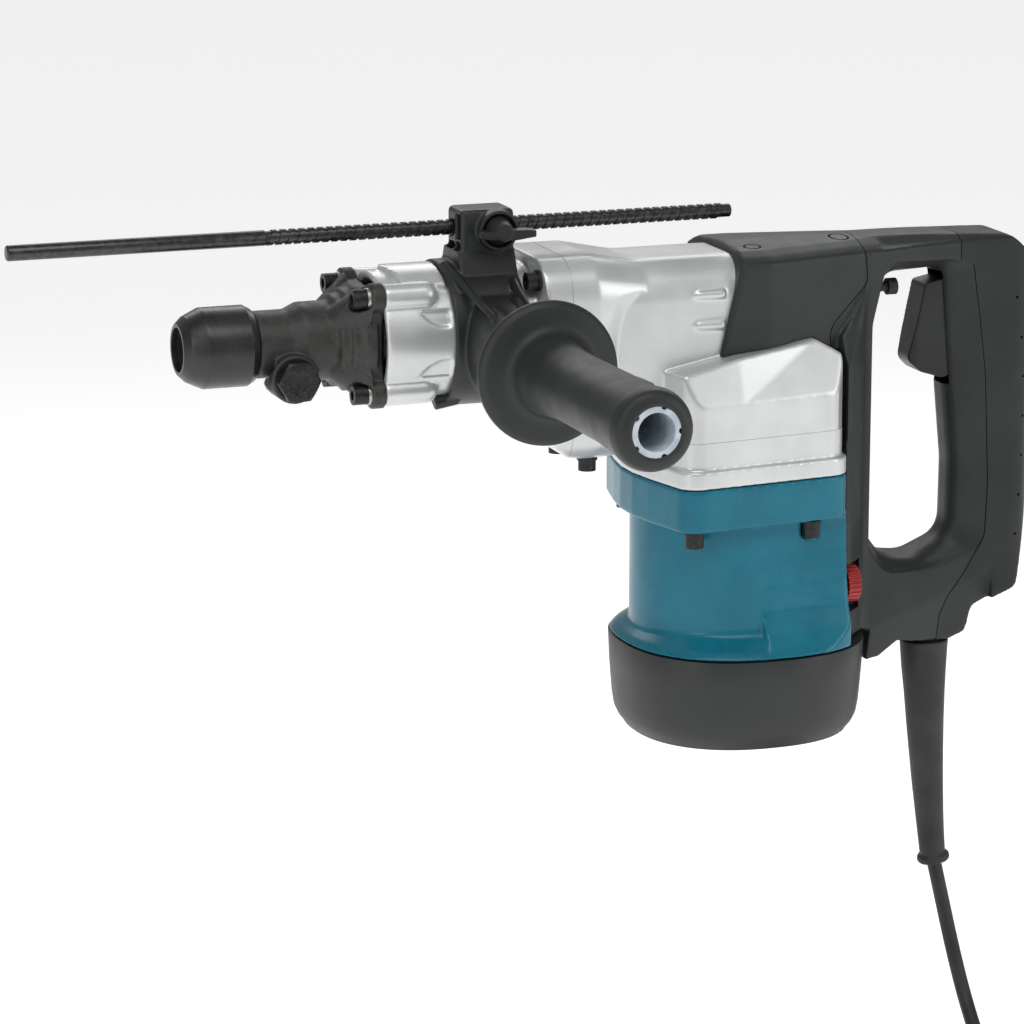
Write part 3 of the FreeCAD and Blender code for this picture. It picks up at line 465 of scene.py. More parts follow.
def prism(points, axis, low, high):
    """A solid of one outline from low to high along an axis."""
    piece = loop([spread(axis, low, pair) for pair in rounded(points)])
    bpy.ops.object.mode_set(mode="EDIT")
    bpy.ops.mesh.select_all(action="SELECT")
    bpy.ops.mesh.extrude_region_move(TRANSFORM_OT_translate={"value": AXES[axis] * (high - low) * MM})
    bpy.ops.object.mode_set(mode="OBJECT")
    return mended(piece)


def turned(points, axis, centre=(0, 0, 0), steps=96):
    """A solid turned about a line through centre, from (along, radius) values."""
    x, y, z = centre
    places = [at(*{"x": (a, y, z + r), "y": (x, a, z + r), "z": (x + r, y, a)}[axis])
              for a, r in rounded(points)]
    piece = loop(places, filled=False)
    bpy.ops.object.mode_set(mode="EDIT")
    bpy.ops.mesh.select_all(action="SELECT")
    bpy.ops.mesh.spin(steps=steps, angle=2 * math.pi, center=at(*centre), axis=AXES[axis])
    bpy.ops.object.mode_set(mode="OBJECT")
    return mended(piece)


def mirrored(points):
    """The whole outline from its lower half, given from front to back at negative values."""
    return list(points) + [(p[0], -p[1], *p[2:]) for p in reversed(points) if p[1] != 0]


cover = turned([(0, 11.2, 0.4), (0, 13.2, 1.2), (3.6, 16.7, 1.6), (12, 20.6, 3.0), (34.4, 20.6, 0.7),
                (38, 18.5, 0.3), (38, 17.9), (15, 17.9), (15, 15), (9, 11.2)], "x", steps=128)
creased(28)
sleeve_black, shader, place = new_finish("sleeve black", Coat_Roughness=0.3)
drift = place.noise(60.0, 3.0).between(0.3, 0.7)
rings = place.node("ShaderNodeMapping", None, {"Vector": place, "Scale": (1.0, 0.02, 0.02)}).noise(2600.0)
plug_in(shader, Base_Color=drift.mixed((0.011, 0.012, 0.0125), (0.019, 0.02, 0.021)),
        Roughness=rings.between(0.3, 0.7, 0.27, 0.36), Normal=place.noise(1500.0, 3.0).bump(0.000012))
dressed(cover, "chuck_sleeve", sleeve_black, "chuck_cover", "sleeve_plastic", "chuck_cover")

ground_steel, shader, place = new_finish("ground steel", Metallic=1.0)
lines = place.node("ShaderNodeMapping", None, {"Vector": place, "Scale": (1.0, 0.05, 0.05)}).noise(3000.0)
plug_in(shader, Base_Color=place.noise(200.0, 4.0).between(0.3, 0.7)
        .mixed((0.30, 0.30, 0.31), (0.45, 0.45, 0.46)),
        Roughness=lines.between(0.3, 0.7, 0.24, 0.42), Normal=lines.bump(0.000006))
node_finish(ground_steel, "tool_holder", "lock_rollers", "ring_gear", "front_bearing", "rear_bearing",
            "impact_bolt", "striker", "cylinder", "piston", "wrist_pin", "connecting_rod", "bevel_pinion",
            "bevel_gear", "bevel_bearings", "crank_shaft", "crank_gear", "crank_bearings",
            "motor_bearings", "armature_shaft")
node_finish(grained("spring steel", (0.34, 0.34, 0.36), (0.48, 0.48, 0.5), (0.22, 0.36), 400.0, 3000.0,
                    0.000008, Metallic=1.0), "chuck_spring")
seal_rubber = grained("seal rubber", (0.008, 0.008, 0.009), (0.016, 0.016, 0.017), (0.5, 0.65), 300.0,
                      3000.0, 0.00002)
node_finish(seal_rubber, "dust_seal", "oil_seal", "striker_ring", "piston_ring")


# ---- Barrel ----------------------------------------------------------
# The black cast barrel swells in steps to a square flange with a lobe round each of its four
# screws. A lug on its near side takes the retainer's big hexagon bolt.
BOLT_X, BOLT_Z = 55, -14.8
SCREW_PLACES = [(y, z) for y in (-24, 24) for z in (-24.5, 24.5)]
body = turned([(38.8, 0), (38.8, 17.1, 0.3), (56, 17.1, 3), (63, 20.3, 4), (77.5, 20.3, 2),
               (80, 23.4, 1), (83.6, 23.6, 0.8), (85.4, 26.0, 0.8), (88.4, 26.2, 0.8),
               (91, 28.4, 0.6), (97, 28.6), (97, 0)], "x")
plate = prism([(-27.4, -27.4, 5), (27.4, -27.4, 5), (27.4, 27.4, 5), (-27.4, 27.4, 5)], "x", 93, 100)
scallops = [rod(92.0, (90, side * 117.0, 0), (101, side * 117.0, 0), sides=160) for side in (-1, 1)]
scallops += [rod(92.0, (90, 0, side * 118.6), (101, 0, side * 118.6), sides=160) for side in (-1, 1)]
plate = carved(plate, *scallops)
lobes = [rod(7.5, (93, y, z), (100, y, z)) for y, z in SCREW_PLACES]
webs = [loft([ring_of((x, y * share, z * share), r, (1, 0, 0), 40) for x, share, r in
              ((72, 0.3, 8), (82, 0.52, 9.5), (93.5, 0.8, 11))]) for y, z in SCREW_PLACES]
lug = rod(12.4, (BOLT_X, -22.9, BOLT_Z), (BOLT_X, -6, BOLT_Z))
lug_web = prism([(40.4, -17.5, 4), (47, -24.4, 8), (62, -25.2, 5), (68, -19, 4), (69, -4), (40, -4)],
                "y", -17.5, -3)
body = fused(body, plate, *lobes, *webs, lug, lug_web)
seats = [rod(6.3, (76, y, z), (92.9, y, z)) for y, z in SCREW_PLACES]
seats += [rod(3.2, (70, y, z), (101, y, z)) for y, z in SCREW_PLACES]
cover_path = carved(rod(22, (30, 0, 0), (47.2, 0, 0), sides=96), rod(17.2, (29, 0, 0), (49, 0, 0), sides=96))
bore = [rod(radius, (x0, 0, 0), (x1, 0, 0))
        for radius, x0, x1 in ((15.0, 30, 66), (18.0, 64, 90), (22.4, 88, 102))]
barrel = carved(body, cover_path, *seats, *bore, rod(6.1, (BOLT_X, -30, BOLT_Z), (BOLT_X, -15, BOLT_Z)))
moulded(barrel, 0.62, 5)
cast_black, shader, place = new_finish("cast black")
grit = place.noise(1500.0, 4.0, 0.65)
lumps = place.noise(260.0, 3.0)
plug_in(shader, Base_Color=(grit.between(0.35, 0.75) * 0.6 + lumps.between(0.3, 0.7) * 0.4)
        .mixed((0.013, 0.0135, 0.012), (0.044, 0.044, 0.041)),
        Roughness=lumps.between(0.3, 0.7, 0.42, 0.56), Normal=grit.bump(0.00011, lumps.bump(0.00012)))
dressed(barrel, "barrel_casting", cast_black, "gear_case", "cast_black", "barrel")
black_oxide, shader, place = new_finish("black oxide", Metallic=0.7)
mottle = place.noise(700.0, 4.0, 0.6)
plug_in(shader, Base_Color=mottle.between(0.35, 0.7).mixed((0.02, 0.02, 0.0195), (0.042, 0.042, 0.04)),
        Roughness=mottle.between(0.3, 0.7, 0.34, 0.5), Normal=place.noise(2600.0, 3.0).bump(0.00002))
node_finish(black_oxide, "barrel_screws", "retainer_washer", "housing_screws", "motor_screws",
            "handle_screws", "trigger_pin")
node_finish(grained("zinc washer", (0.42, 0.41, 0.39), (0.62, 0.61, 0.58), (0.3, 0.45), 500.0, 2600.0,
                    0.00001, Metallic=1.0), "spring_washers")

# The retainer bolt's head is forged, with a chamfered crown and a shallow dish in its face.
HEXAGON_R = 11.25
head = prism([(BOLT_X + HEXAGON_R * math.cos(a), BOLT_Z + HEXAGON_R * math.sin(a), 0.7)
              for a in (math.radians(degrees) for degrees in range(0, 360, 60))], "y", -30.5, -24.5)
crown = turned([(-30.6, 0), (-30.6, 9.6, 0.5), (-29.0, 11.7), (-24.4, 11.7), (-24.4, 0)], "y",
               (BOLT_X, 0, BOLT_Z))
dish = rod(6.4, (BOLT_X, -31.0, BOLT_Z), (BOLT_X, -30.1, BOLT_Z), tip=5.2)
bolt = fused(carved(shared(head, crown), dish), rod(6.0, (BOLT_X, -24.6, BOLT_Z), (BOLT_X, -15, BOLT_Z)))
worked(bolt, "BEVEL", width=0.35 * MM, segments=2, limit_method="ANGLE", angle_limit=math.radians(25))
creased(30)
dressed(bolt, "retainer_hexagon", black_oxide, "gear_case", "black_screw", "retainer_bolt")


# ---- Gear housing ----------------------------------------------------
# A silver-painted casting: a round neck with four screw bosses, a wide block round the ring gear,
# a narrower body over the crank and a slanted cover over the gears, all run into one another.
def gear_plan(inset=0.0):
    return mirrored([(238 + inset, 0, 110), (252 + inset, -60 + inset, 11),
                     (348 - inset, -50 + inset, 12)])


SEAM_Z, LEDGE_Z, PAINT_EDGE_Z = -56.0, -69.0, -80.0
neck = rod(34.0, (100, 0, 0), (188, 0, 0), sides=128)
pad = prism([(-27, -27, 6), (27, -27, 6), (27, 27, 6), (-27, 27, 6)], "x", 100, 104)
bosses = []
for y, z in SCREW_PLACES:
    bosses.append(turned([(100, 0), (100, 6.7), (128.6, 6.7, 6.4), (128.6, 0)], "x", (0, y, z), 48))
collar = shared(rod(36.6, (100, 0, 0), (134.6, 0, 0), sides=128),
                prism([(106, 0), (112.5, -22), (134.6, -22), (134.6, 22), (112.5, 22)], "z", 20, 45))
pockets = []
for side in (-1, 1):
    for z in (-22.5, 23.5):
        pocket = rod(14.8, (131.5, side * 24, z), (131.5, side * 40, z))
        pockets.append(carved(pocket, rod(32.7, (90, 0, 0), (190, 0, 0), sides=128),
                              block(134.8, 160, -60, 60, -60, 60), block(90, 150, -60, 60, 17.2, 60),
                              block(90, 150, -60, 60, -60, -17.2)))
neck = carved(fused(neck, pad, *bosses, collar), *pockets)

wide_side = [(183, 46), (214, 46), (217, 28, 10), (212, 6, 20), (211, -12, 20), (214, -34, 10),
             (219, -66), (208, -66, 8), (196, -63.5, 8), (187, -56, 8), (183, -40)]
core_side = [(182, 46), (242, 46), (240, 27, 10), (226, 8, 20), (223, -10, 20), (227, -30, 10),
             (238, -66), (208, -66, 8), (196, -63.5, 8), (187, -56, 8), (182, -40)]
cheeks = [loft([[spread("y", y, p) for p in rounded(side)] for y, side in
                ((turn * 41, wide_side), (turn * 34.4, core_side), (turn * 20, core_side))])
          for turn in (-1, 1)]
spine = prism([(182, 39.7), (211, 39.7), (236, 34.6), (242, 34.6), (238, -66), (208, -66, 8),
               (196, -63.5, 8), (187, -56, 8), (182, -40)], "y", -34.5, 34.5)
crest = prism([(182, 39.7), (211, 39.7), (236, 34.6), (246, 34.6), (246, -70), (182, -70)], "y", -60, 60)
section = loft([[spread("x", x, p)
                 for p in rounded([(-wide, -66, 16), (wide, -66, 16), (wide, top, 20), (-wide, top, 20)])]
                for x, wide, top in ((182, 40, 39.7), (211, 40, 39.7), (240, 34.7, 34.8),
                                     (247, 34.6, 34.7))])
front = shared(fused(spine, *cheeks), section, crest)
middle = prism([(-35, -66, 16), (35, -66, 16), (35, 34.7, 20), (-35, 34.7, 20)], "x", 224, 310)
middle = carved(middle, block(238, 312, -60, 60, -70, SEAM_Z))
ribs = [loft([ring_of((x, turn * 34.5, z), r, (1, 0, 0), 20)
              for x, r in ((264, 0.9), (267, 2.1), (281, 2.6))])
        for turn in (-1, 1) for z in (17.0, 1.0)]
# Along the cover: x, the wall's half width and top, the crest's half width and height, the shelf's height.
COVER_STATIONS = ((230, 60.5, -38.0, 55.6, -26.2, -25.0), (285, 54.8, -37.5, 46.0, -15.2, -14.4),
                  (330, 50.1, -37.0, 36.8, -10.3, -9.6), (348.6, 48.2, -36.8, 33.5, -7.5, -7.0))


def gear_cover(grow, bottom):
    """The cover's slanted faces and the shelf above them, swollen by grow."""
    return loft([[at(x, y, z) for y, z in
                  ((-wall - grow, bottom), (-wall - grow, low), (-edge - grow * 0.7, top + grow * 0.7),
                   (-min(35, edge - 0.3), shelf + grow), (min(35, edge - 0.3), shelf + grow),
                   (edge + grow * 0.7, top + grow * 0.7), (wall + grow, low), (wall + grow, bottom))]
                 for x, wall, low, edge, top, shelf in COVER_STATIONS])


gable = gear_cover(0.0, -62)
slope = prism([(236, -70), (236, -5), (330, -8.6, 16), (348.2, -19, 8), (348.2, -70)], "y", -70, 70)
case = shared(gable, slope, prism(gear_plan(1.8), "z", -62, 0),
              prism(mirrored([(230, -70), (334, -56, 16), (348.2, -38, 20)]), "z", -64, 5))
outside = fused(neck, front, middle, case, *ribs)
rooms = [rod(30.0, (99, 0, 0), (188, 0, 0), sides=96),
         prism([(-35, -40, 8), (35, -40, 8), (35, 34.5, 17), (-35, 34.5, 17)], "x", 187, 209),
         prism([(-30.5, -40, 8), (30.5, -40, 8), (30.5, 29.5, 17), (-30.5, 29.5, 17)], "x", 208, 306),
         block(194.5, 300, -28, 28, -59.5, -35),
         block(247, 342, -45, 45, SEAM_Z - 1, -46), block(299, 342, -34, 34, SEAM_Z - 1, -20)]
rooms += [rod(3.2, (99, y, z), (124, y, z), sides=24) for y, z in SCREW_PLACES]
housing = moulded(carved(outside, *rooms), 0.9, 6, keep=0.7)
carved(housing, block(239.5, 360, -80, 80, -90, SEAM_Z))
parting_line = carved(prism([(-50, -70), (50, -70), (50, 50), (-50, 50)], "x", 196.2, 196.7),
                      prism([(-39.7, -65.7, 16), (39.7, -65.7, 16), (39.7, 39.4, 20), (-39.7, 39.4, 20)],
                            "x", 195, 198))
carved(housing, parting_line)
creased(40)
silver_paint, shader, place = new_finish("silver paint", Metallic=0.55, Coat_Weight=0.25,
                                         Coat_Roughness=0.25)
flake = place.noise(5200.0, 2.0, 0.7)
swirl = place.noise(30.0, 3.0)
plug_in(shader, Base_Color=(flake.between(0.3, 0.7) * 0.35 + swirl.between(0.3, 0.7) * 0.65)
        .mixed((0.55, 0.56, 0.565), (0.68, 0.69, 0.69)),
        Roughness=swirl.between(0.3, 0.7, 0.3, 0.38),
        Normal=flake.bump(0.00001, place.noise(420.0, 2.0).bump(0.00003)))
dressed(housing, "gear_casing", silver_paint, "gear_case", "silver_paint", "gear_housing")

# Below the seam the bearing plate has the same wall and a ledge that stands out over the motor.
wall = prism(gear_plan(1.8), "z", LEDGE_Z - 3, SEAM_Z + 4)
ledge = prism(gear_plan(), "z", PAINT_EDGE_Z, LEDGE_Z - 1.6)
hollow = prism(gear_plan(6), "z", PAINT_EDGE_Z + 4, SEAM_Z + 6)
notch = block(230, 262, -28, 28, -60, SEAM_Z + 6)
plate = carved(fused(wall, ledge), hollow, notch, rod(9.0, (272, 0, -82), (272, 0, -75)),
               rod(7.4, (298, 0, -82), (298, 0, -75)))
moulded(plate, 0.7, 7, keep=0.6)
carved(plate, block(225, 360, -80, 80, SEAM_Z - 0.15, -40))
creased(40)
dressed(plate, "gear_plate", silver_paint, "gear_case", "silver_paint", "bearing_plate")


# ---- Motor housing ---------------------------------------------------
# Glossy teal: a flange of the gear plan, a round drum over the motor, a flat-sided pad behind it and
# a foot that flares to the outline of the base.
MOTOR_X = 298


def base_ring(grow, z, count=96):
    """The base's outline at one height: a full oval, cut straight across at the back."""
    ring = []
    for k in range(count):
        c, s = math.cos(2 * math.pi * k / count), math.sin(2 * math.pi * k / count)
        x = 304 + (66 + grow) * math.copysign(abs(c) ** (2 / 2.3), c)
        y = (65.5 + grow) * math.copysign(abs(s) ** (2 / 2.3), s)
        ring.append(at(min(x, 370.4), y, z))
    return ring


flange = prism(gear_plan(), "z", -103, PAINT_EDGE_Z - 0.4)
drum = rod(51.0, (MOTOR_X, 0, -171.9), (MOTOR_X, 0, -101), sides=160)
pad = prism(mirrored([(298, -66), (349, -66)]), "z", -171.9, -101)
# Down the pad: z, where its face starts, its half width there and at the back.
PAD_STATIONS = ((-98, 287.5, 50.2, 43.2), (-120, 291.5, 50.8, 44), (-136, 296, 51.2, 45.5),
                (-150, 297.5, 51.6, 48.5), (-160, 297.5, 56, 53.6), (-173, 297, 65.5, 62))
cuts = [loft([[at(x, side * y, z) for x, y in ((start, near), (352, far), (352, 90), (start, 90))]
              for z, start, near, far in PAD_STATIONS]) for side in (-1, 1)]
drum = carved(fused(drum, pad), *cuts)
foot = loft([base_ring(-16, -156), base_ring(-12.5, -162), base_ring(-4, -168), base_ring(0, -171.9)])
outline = loft([base_ring(0, -172.5), base_ring(0, -98)])
motor = fused(shared(drum, outline), flange, foot)
motor = carved(motor, block(348.0, 400, -90, 90, -180, -70))
rooms = carved(rod(47.5, (MOTOR_X, 0, -175), (MOTOR_X, 0, -90), sides=96),
               rod(18, (MOTOR_X, 0, -99), (MOTOR_X, 0, -85)))
holes = [rod(5.0, (x, y, -112.6), (x, y, -103)) for x, y in ((260, -49), (326, -47), (260, 49), (326, 47))]
holes += [rod(14, (MOTOR_X, 0, -99.5), (MOTOR_X, 0, -89), sides=64),
          rod(7.4, (MOTOR_X, 0, -91), (MOTOR_X, 0, -79))]
motor = moulded(carved(motor, rooms, *holes), 0.8, 9, keep=0.55)
motor_teal, shader, place = new_finish("motor teal", Coat_Weight=0.12, Coat_Roughness=0.12,
                                       Specular_IOR_Level=0.25)
cloud = place.noise(40.0, 3.0)
orange = place.noise(900.0, 2.0)
plug_in(shader, Base_Color=cloud.between(0.3, 0.7).mixed((0.003, 0.125, 0.19), (0.006, 0.155, 0.225)),
        Roughness=cloud.between(0.3, 0.7, 0.24, 0.31), Normal=orange.bump(0.000035))
dressed(motor, "motor_shell", motor_teal, "gear_case", "motor_teal", "motor_housing")


# ---- Base cap --------------------------------------------------------
# The black cap under the motor, with a rolled lower edge and the seam of its rear part.
cap = loft([base_ring(-10, -222), base_ring(-8.2, -221.5), base_ring(-7.2, -219.8), base_ring(-5, -217),
            base_ring(-3.2, -213), base_ring(-2.2, -207), base_ring(-1.5, -199), base_ring(-0.7, -188),
            base_ring(0, -172.4)])
hollow = loft([base_ring(-11, -218), base_ring(-6.5, -210), base_ring(-5, -200), base_ring(-3.8, -171)])
hollow = carved(hollow, block(345, 380, -90, 90, -230, -160))
seam = carved(prism([(-90, -240), (90, -240), (90, -170), (-90, -170)], "x", 346.7, 347.3),
              prism([(-60.8, -219, 10), (60.8, -219, 10), (60.8, -160), (-60.8, -160)], "x", 345, 349))
post = carved(rod(15, (MOTOR_X, 0, -219), (MOTOR_X, 0, -206)),
              rod(11, (MOTOR_X, 0, -216), (MOTOR_X, 0, -205)))
cap = fused(carved(cap, hollow, seam), post)
worked(cap, "BEVEL", width=0.3 * MM, segments=2, limit_method="ANGLE", angle_limit=math.radians(50))
creased(32)
base_plastic, shader, place = new_finish("base plastic")
drift = place.noise(35.0, 3.0)
plug_in(shader, Base_Color=drift.between(0.3, 0.7).mixed((0.013, 0.0145, 0.015), (0.018, 0.0195, 0.02)),
        Roughness=drift.between(0.3, 0.7, 0.4, 0.48), Normal=place.noise(1500.0, 3.0).bump(0.00003))
dressed(cap, "base_shell", base_plastic, "gear_case", "base_plastic", "base_cap")


# ---- Rear cover, handle and handle cover -----------------------------
# One flowing black body from the hood over the crank round the hand grip. It is shaped in one go
# and then parted along its seams, so the three mouldings meet flush across fine gaps.
cover_side = prism([(277.5, -20), (290.5, 35, 2), (293.5, 39.2, 3), (360, 38.7, 40),
                    (376, 37.2), (371, 14, 8), (351, -7, 8), (351, -20)], "y", -60, 60)
cover_plan = prism(mirrored([(272, -38.7), (306, -38.7, 30), (372, -23.5, 30), (380, -22.5)]), "z", -60, 60)
cover_end = loft([[at(x, y, z) for y, z in
                   ((-60, -60), (-60, 26), (-wide, 31.8), (-wide + 5, 34.6), (-wide + 12, 37.2), (0, 39.4),
                    (wide - 12, 37.2), (wide - 5, 34.6), (wide, 31.8), (60, 26), (60, -60))]
                  for x, wide in ((265, 38.6), (306, 38.6), (372, 23.6), (390, 20))])
hood = shared(cover_side, cover_plan, cover_end)
frame_side = prism([(348, -10), (352, -6, 4), (366, 14, 8), (366, 38.5), (400, 37.6, 60), (452, 35.4, 14),
                    (463.4, 26, 7), (464, 14, 10), (469.8, -30, 60), (470.3, -75, 60), (467, -122, 40),
                    (461.2, -157.6, 6), (436.5, -167.2, 4), (434.5, -182, 4), (424, -185.6, 3),
                    (400, -183.6), (391, -181.6, 2), (380, -189.4, 3), (371.5, -190.4),
                    (371.5, -171.4), (348, -171.4)], "y", -60, 60)
frame_plan = prism(mirrored([(348, -42.4), (352, -40.4, 6), (367, -24.4, 12), (398, -20.4, 40),
                             (430, -17.9, 40), (462, -17.4, 12), (471.4, -6, 6)]), "z", -210, 50)
frame_end = prism([(-60, -210), (60, -210), (60, 26), (26, 30.6, 2), (17.4, 33.4, 3), (10, 38, 8),
                   (-10, 38, 8), (-17.4, 33.4, 3), (-26, 30.6, 2), (-60, 26)], "x", 340, 480)
shoulders = [prism([(side * 43, -27), (side * 31, -5, 20), (side * 26.5, 14), (side * 26.5, 60),
                    (side * 80, 60), (side * 80, -27)], "x", 340, 371) for side in (-1, 1)]
undercuts = [loft([[at(x, side * y, z) for y, z in ((60, crease), (60, crease - 40), (wide - 9, crease - 40),
                                                    (wide + 0.6, crease))]
                   for x, wide, crease in ((346, 43.5, -171.5), (352, 40.4, -170), (367, 25, -167),
                                           (398, 20.6, -161), (430, 18, -149.5), (446, 17.6, -140))])
             for side in (-1, 1)]
OPENING = [(381, 17, 10), (414, 18.6, 6), (418.5, -38, 20), (423.5, -88, 40), (423, -127, 14),
           (402, -137, 14), (384, -135, 16), (371, -118, 20), (366, -70, 60), (366, -35, 50)]


def opening_ring(y, grow):
    """The hand opening's edge at one distance from the middle, where its rim has flared by grow."""
    ring = []
    for x, z in rounded(OPENING):
        back = max(-0.1, min(1.0, (x - 398) / 20))
        up = 0.3 * max(0.0, min(1.0, (z + 10) / 25)) - 0.3 * max(0.0, min(1.0, (-112 - z) / 15))
        ring.append(at(x + grow * back, y, z + grow * up))
    return ring


FLARE = ((4, 0), (8, 1.2), (11.5, 4), (14.5, 9), (17, 16.5), (24, 30))
opening = loft([opening_ring(-y, grow) for y, grow in reversed(FLARE)]
               + [opening_ring(y, grow) for y, grow in FLARE])
loop_frame = carved(shared(frame_side, frame_plan, frame_end), *shoulders, *undercuts, opening)
whole = moulded(fused(hood, loop_frame), 1.0, 10)
front_room = prism([(-35.3, -66, 16), (35.3, -66, 16), (35.3, 35, 20), (-35.3, 35, 20)], "x", 222, 310.4)
gable = gear_cover(0.4, -64)
slope = prism([(235, -70), (235, -4.5), (330, -8.1, 16), (348.6, -18.5, 8), (348.6, -70)], "y", -70, 70)
whole = carved(whole, front_room, shared(gable, slope))
hood_region = [(250, 60), (250, -17.2), (343, -17.2), (342.4, -5.5, 12), (366, 16, 9), (364, 32, 10),
               (364, 60)]
hood = shared(copied(whole), prism(hood_region, "y", -70, 70))
hood = carved(hood, block(309, 346, -19, 19, -6, 32))
for x, y, r in ((302.5, -20, 4.8), (356, -9, 5.6)):
    hood = carved(hood, carved(rod(r, (x, y, 36.0), (x, y, 45)), rod(r - 1.1, (x, y, 30), (x, y, 46))))
gap_region = [(240, 62), (240, -17.6), (343.5, -17.6), (342.9, -5.7, 12), (366.5, 15.8, 9), (364.5, 32, 10),
              (364.5, 62)]
whole = carved(whole, prism(gap_region, "y", -72, 72), block(300, 348.0, -80, 80, -220, -17))
back_line = [(423, 60), (423, 22.8, 2), (430.5, 21.2, 4), (435, -9, 20), (439, -39, 60), (442, -98, 60),
             (441, -128, 14), (429.5, -146.5, 10), (419.5, -159.6, 8), (416, -170, 4), (416, -215),
             (505, -215), (505, 60)]
gap_line = [(x - 0.5 if x < 500 else 508, z + (0.3 if -200 < z < 50 else 0), *r) for x, z, *r in back_line]
switch_room = block(446, 462, -13, 13, -54, 14)
slot = block(410, 446.5, -9.6, 9.6, -45.5, 16.5)
guard_hole = rod(9.4, (414.5, 0, -201), (414.5, 0, -172))
pin_hole = rod(2.5, (436, -17, 8), (436, 17, 8), sides=32)
back = carved(shared(copied(whole), prism(back_line, "y", -62, 62)), copied(switch_room), copied(slot),
              copied(guard_hole))
studs = [(456.5, 1), (460, -21), (462, -42.4), (462.4, -64), (462, -85.5), (460.8, -107), (459, -128.4)]
back = carved(back, *[rod(0.8, (x, side * 40, z), (x, side * 14, z), sides=16)
                      for x, z in studs for side in (-1, 1)])
dial_pocket = block(349, 361.5, -50, -27, -157, -130.5)
dial_seat = rod(10.7, (351, -28.5, -144), (361.5, -28.5, -144))
grip = carved(whole, prism(gap_line, "y", -64, 64), switch_room, slot, guard_hole, pin_hole,
              dial_pocket, dial_seat)
for y in (-14.5, 14.5):
    grip = carved(grip, rod(4.9, (381.5, y, 11), (400, y, 11), sides=48),
                  rod(2.5, (370, y, 11), (383, y, 11)))
for piece in (hood, grip, back):
    worked(piece, "DECIMATE", ratio=0.5)
    creased(40)


def black_shell(name, dark, light, rough, grain):
    """A black plastic whose colour, gloss and fine grain vary a little."""
    material, shader, place = new_finish(name, Specular_IOR_Level=0.34)
    drift = place.noise(28.0, 3.0)
    plug_in(shader, Base_Color=drift.between(0.3, 0.7).mixed(dark, light),
            Roughness=place.noise(90.0, 3.0).between(0.3, 0.7, *rough),
            Normal=place.noise(1700.0, 3.0, 0.6).bump(grain))
    return material


cover_plastic = black_shell("cover plastic", (0.019, 0.021, 0.022), (0.025, 0.027, 0.028), (0.4, 0.46),
                            0.00004)
handle_plastic = black_shell("handle plastic", (0.017, 0.019, 0.02), (0.023, 0.025, 0.026), (0.4, 0.47),
                             0.00004)
grip_rubber = black_shell("grip rubber", (0.014, 0.0155, 0.0165), (0.019, 0.021, 0.022), (0.48, 0.56),
                          0.00006)
dressed(hood, "rear_hood", cover_plastic, "gear_case", "cover_plastic", "rear_cover")
dressed(grip, "grip_frame", handle_plastic, "gear_case", "handle_plastic", "handle")
dressed(back, "grip_back", grip_rubber, "gear_case", "grip_rubber", "handle_cover")


# ---- Trigger and speed dial ------------------------------------------
# The trigger is a long paddle with creased sides on a pin; the red dial stands in its own pocket.
paddle = prism([(407, 10, 3), (402.4, -12, 30), (398, -31, 5), (405, -37.6, 6), (418, -41.6, 3),
                (432, -36, 3), (433, 0, 4), (441, 1, 3), (441, 14, 3), (428, 14, 8)], "y", -9, 9)
cheeks = prism([(396, -5.4), (402, -9, 4), (442, -9), (442, 9), (402, 9, 4), (396, 5.4)], "z", -50, 20)
paddle = carved(shared(paddle, cheeks), rod(2.5, (436, -20, 8), (436, 20, 8), sides=32))
moulded(paddle, 0.5, 5)
trigger_plastic = black_shell("trigger plastic", (0.012, 0.013, 0.014), (0.019, 0.02, 0.021), (0.34, 0.42),
                              0.00002)
dressed(paddle, "trigger_paddle", trigger_plastic, "trigger", "trigger_plastic", "trigger")
node_finish(black_shell("switch plastic", (0.02, 0.02, 0.022), (0.03, 0.03, 0.032), (0.4, 0.5), 0.00003),
            "switch_module")
node_finish(grained("dial red", (0.34, 0.012, 0.012), (0.46, 0.02, 0.018), (0.3, 0.38), 120.0, 2000.0,
                    0.00002, Coat_Weight=0.2), "speed_dial")


# ---- Side handle -----------------------------------------------------
# A clamp ring round the neck with a column over it for the depth rod, an arm that runs out to the
# near side between two raised edges, and a turned grip with a dished guard.
ARM_X, ARM_Z, WING_X, ROD_Z = 157, -1.5, 164, 54
ring = carved(rod(37.6, (135.2, 0, 0), (174, 0, 0), sides=128), rod(33.0, (130, 0, 0), (180, 0, 0)))
column = block(145.2, 174, -15, 7, 33, 64.4)
worked(column, "BEVEL", width=2.6 * MM, segments=4, limit_method="ANGLE")
foot = prism([(-22, 28), (14, 28), (7, 44), (-15, 44)], "x", 143.4, 174)
stations = ((-17, 17, 28), (-40, 16.6, 24.8), (-70, 16.6, 21.4), (-92, 17.6, 18.9), (-104, 18.4, 18.4))
arm = loft([[at(ARM_X + wide * math.cos(a), y, ARM_Z + tall * math.sin(a))
             for a in (2 * math.pi * k / 72 for k in range(72))] for y, wide, tall in stations])
edges = [rod(2.7, (138.6, -7, 36.2), (148.6, -66, 14.0), tip=1.6, sides=32),
         rod(2.8, (171.6, -15, 28.8), (164.6, -62, 22.6), tip=1.4, sides=32)]
dent = loft([[at(*p) for p in ((148.6, y, bed), (x1, y, bed), (x1, y, 45), (148.6, y, 45))]
             for y, x1, bed in ((-21, 169, 23.5), (-66, 162.5, 19.5))])
lip = rod(3.6, (129.4, -17.5, -33), (142, -17.5, -31), sides=40)
shroud = carved(rod(10.4, (WING_X, -12, ROD_Z), (WING_X, -20.4, ROD_Z)),
                rod(8.4, (WING_X, -16.9, ROD_Z), (WING_X, -22, ROD_Z)))
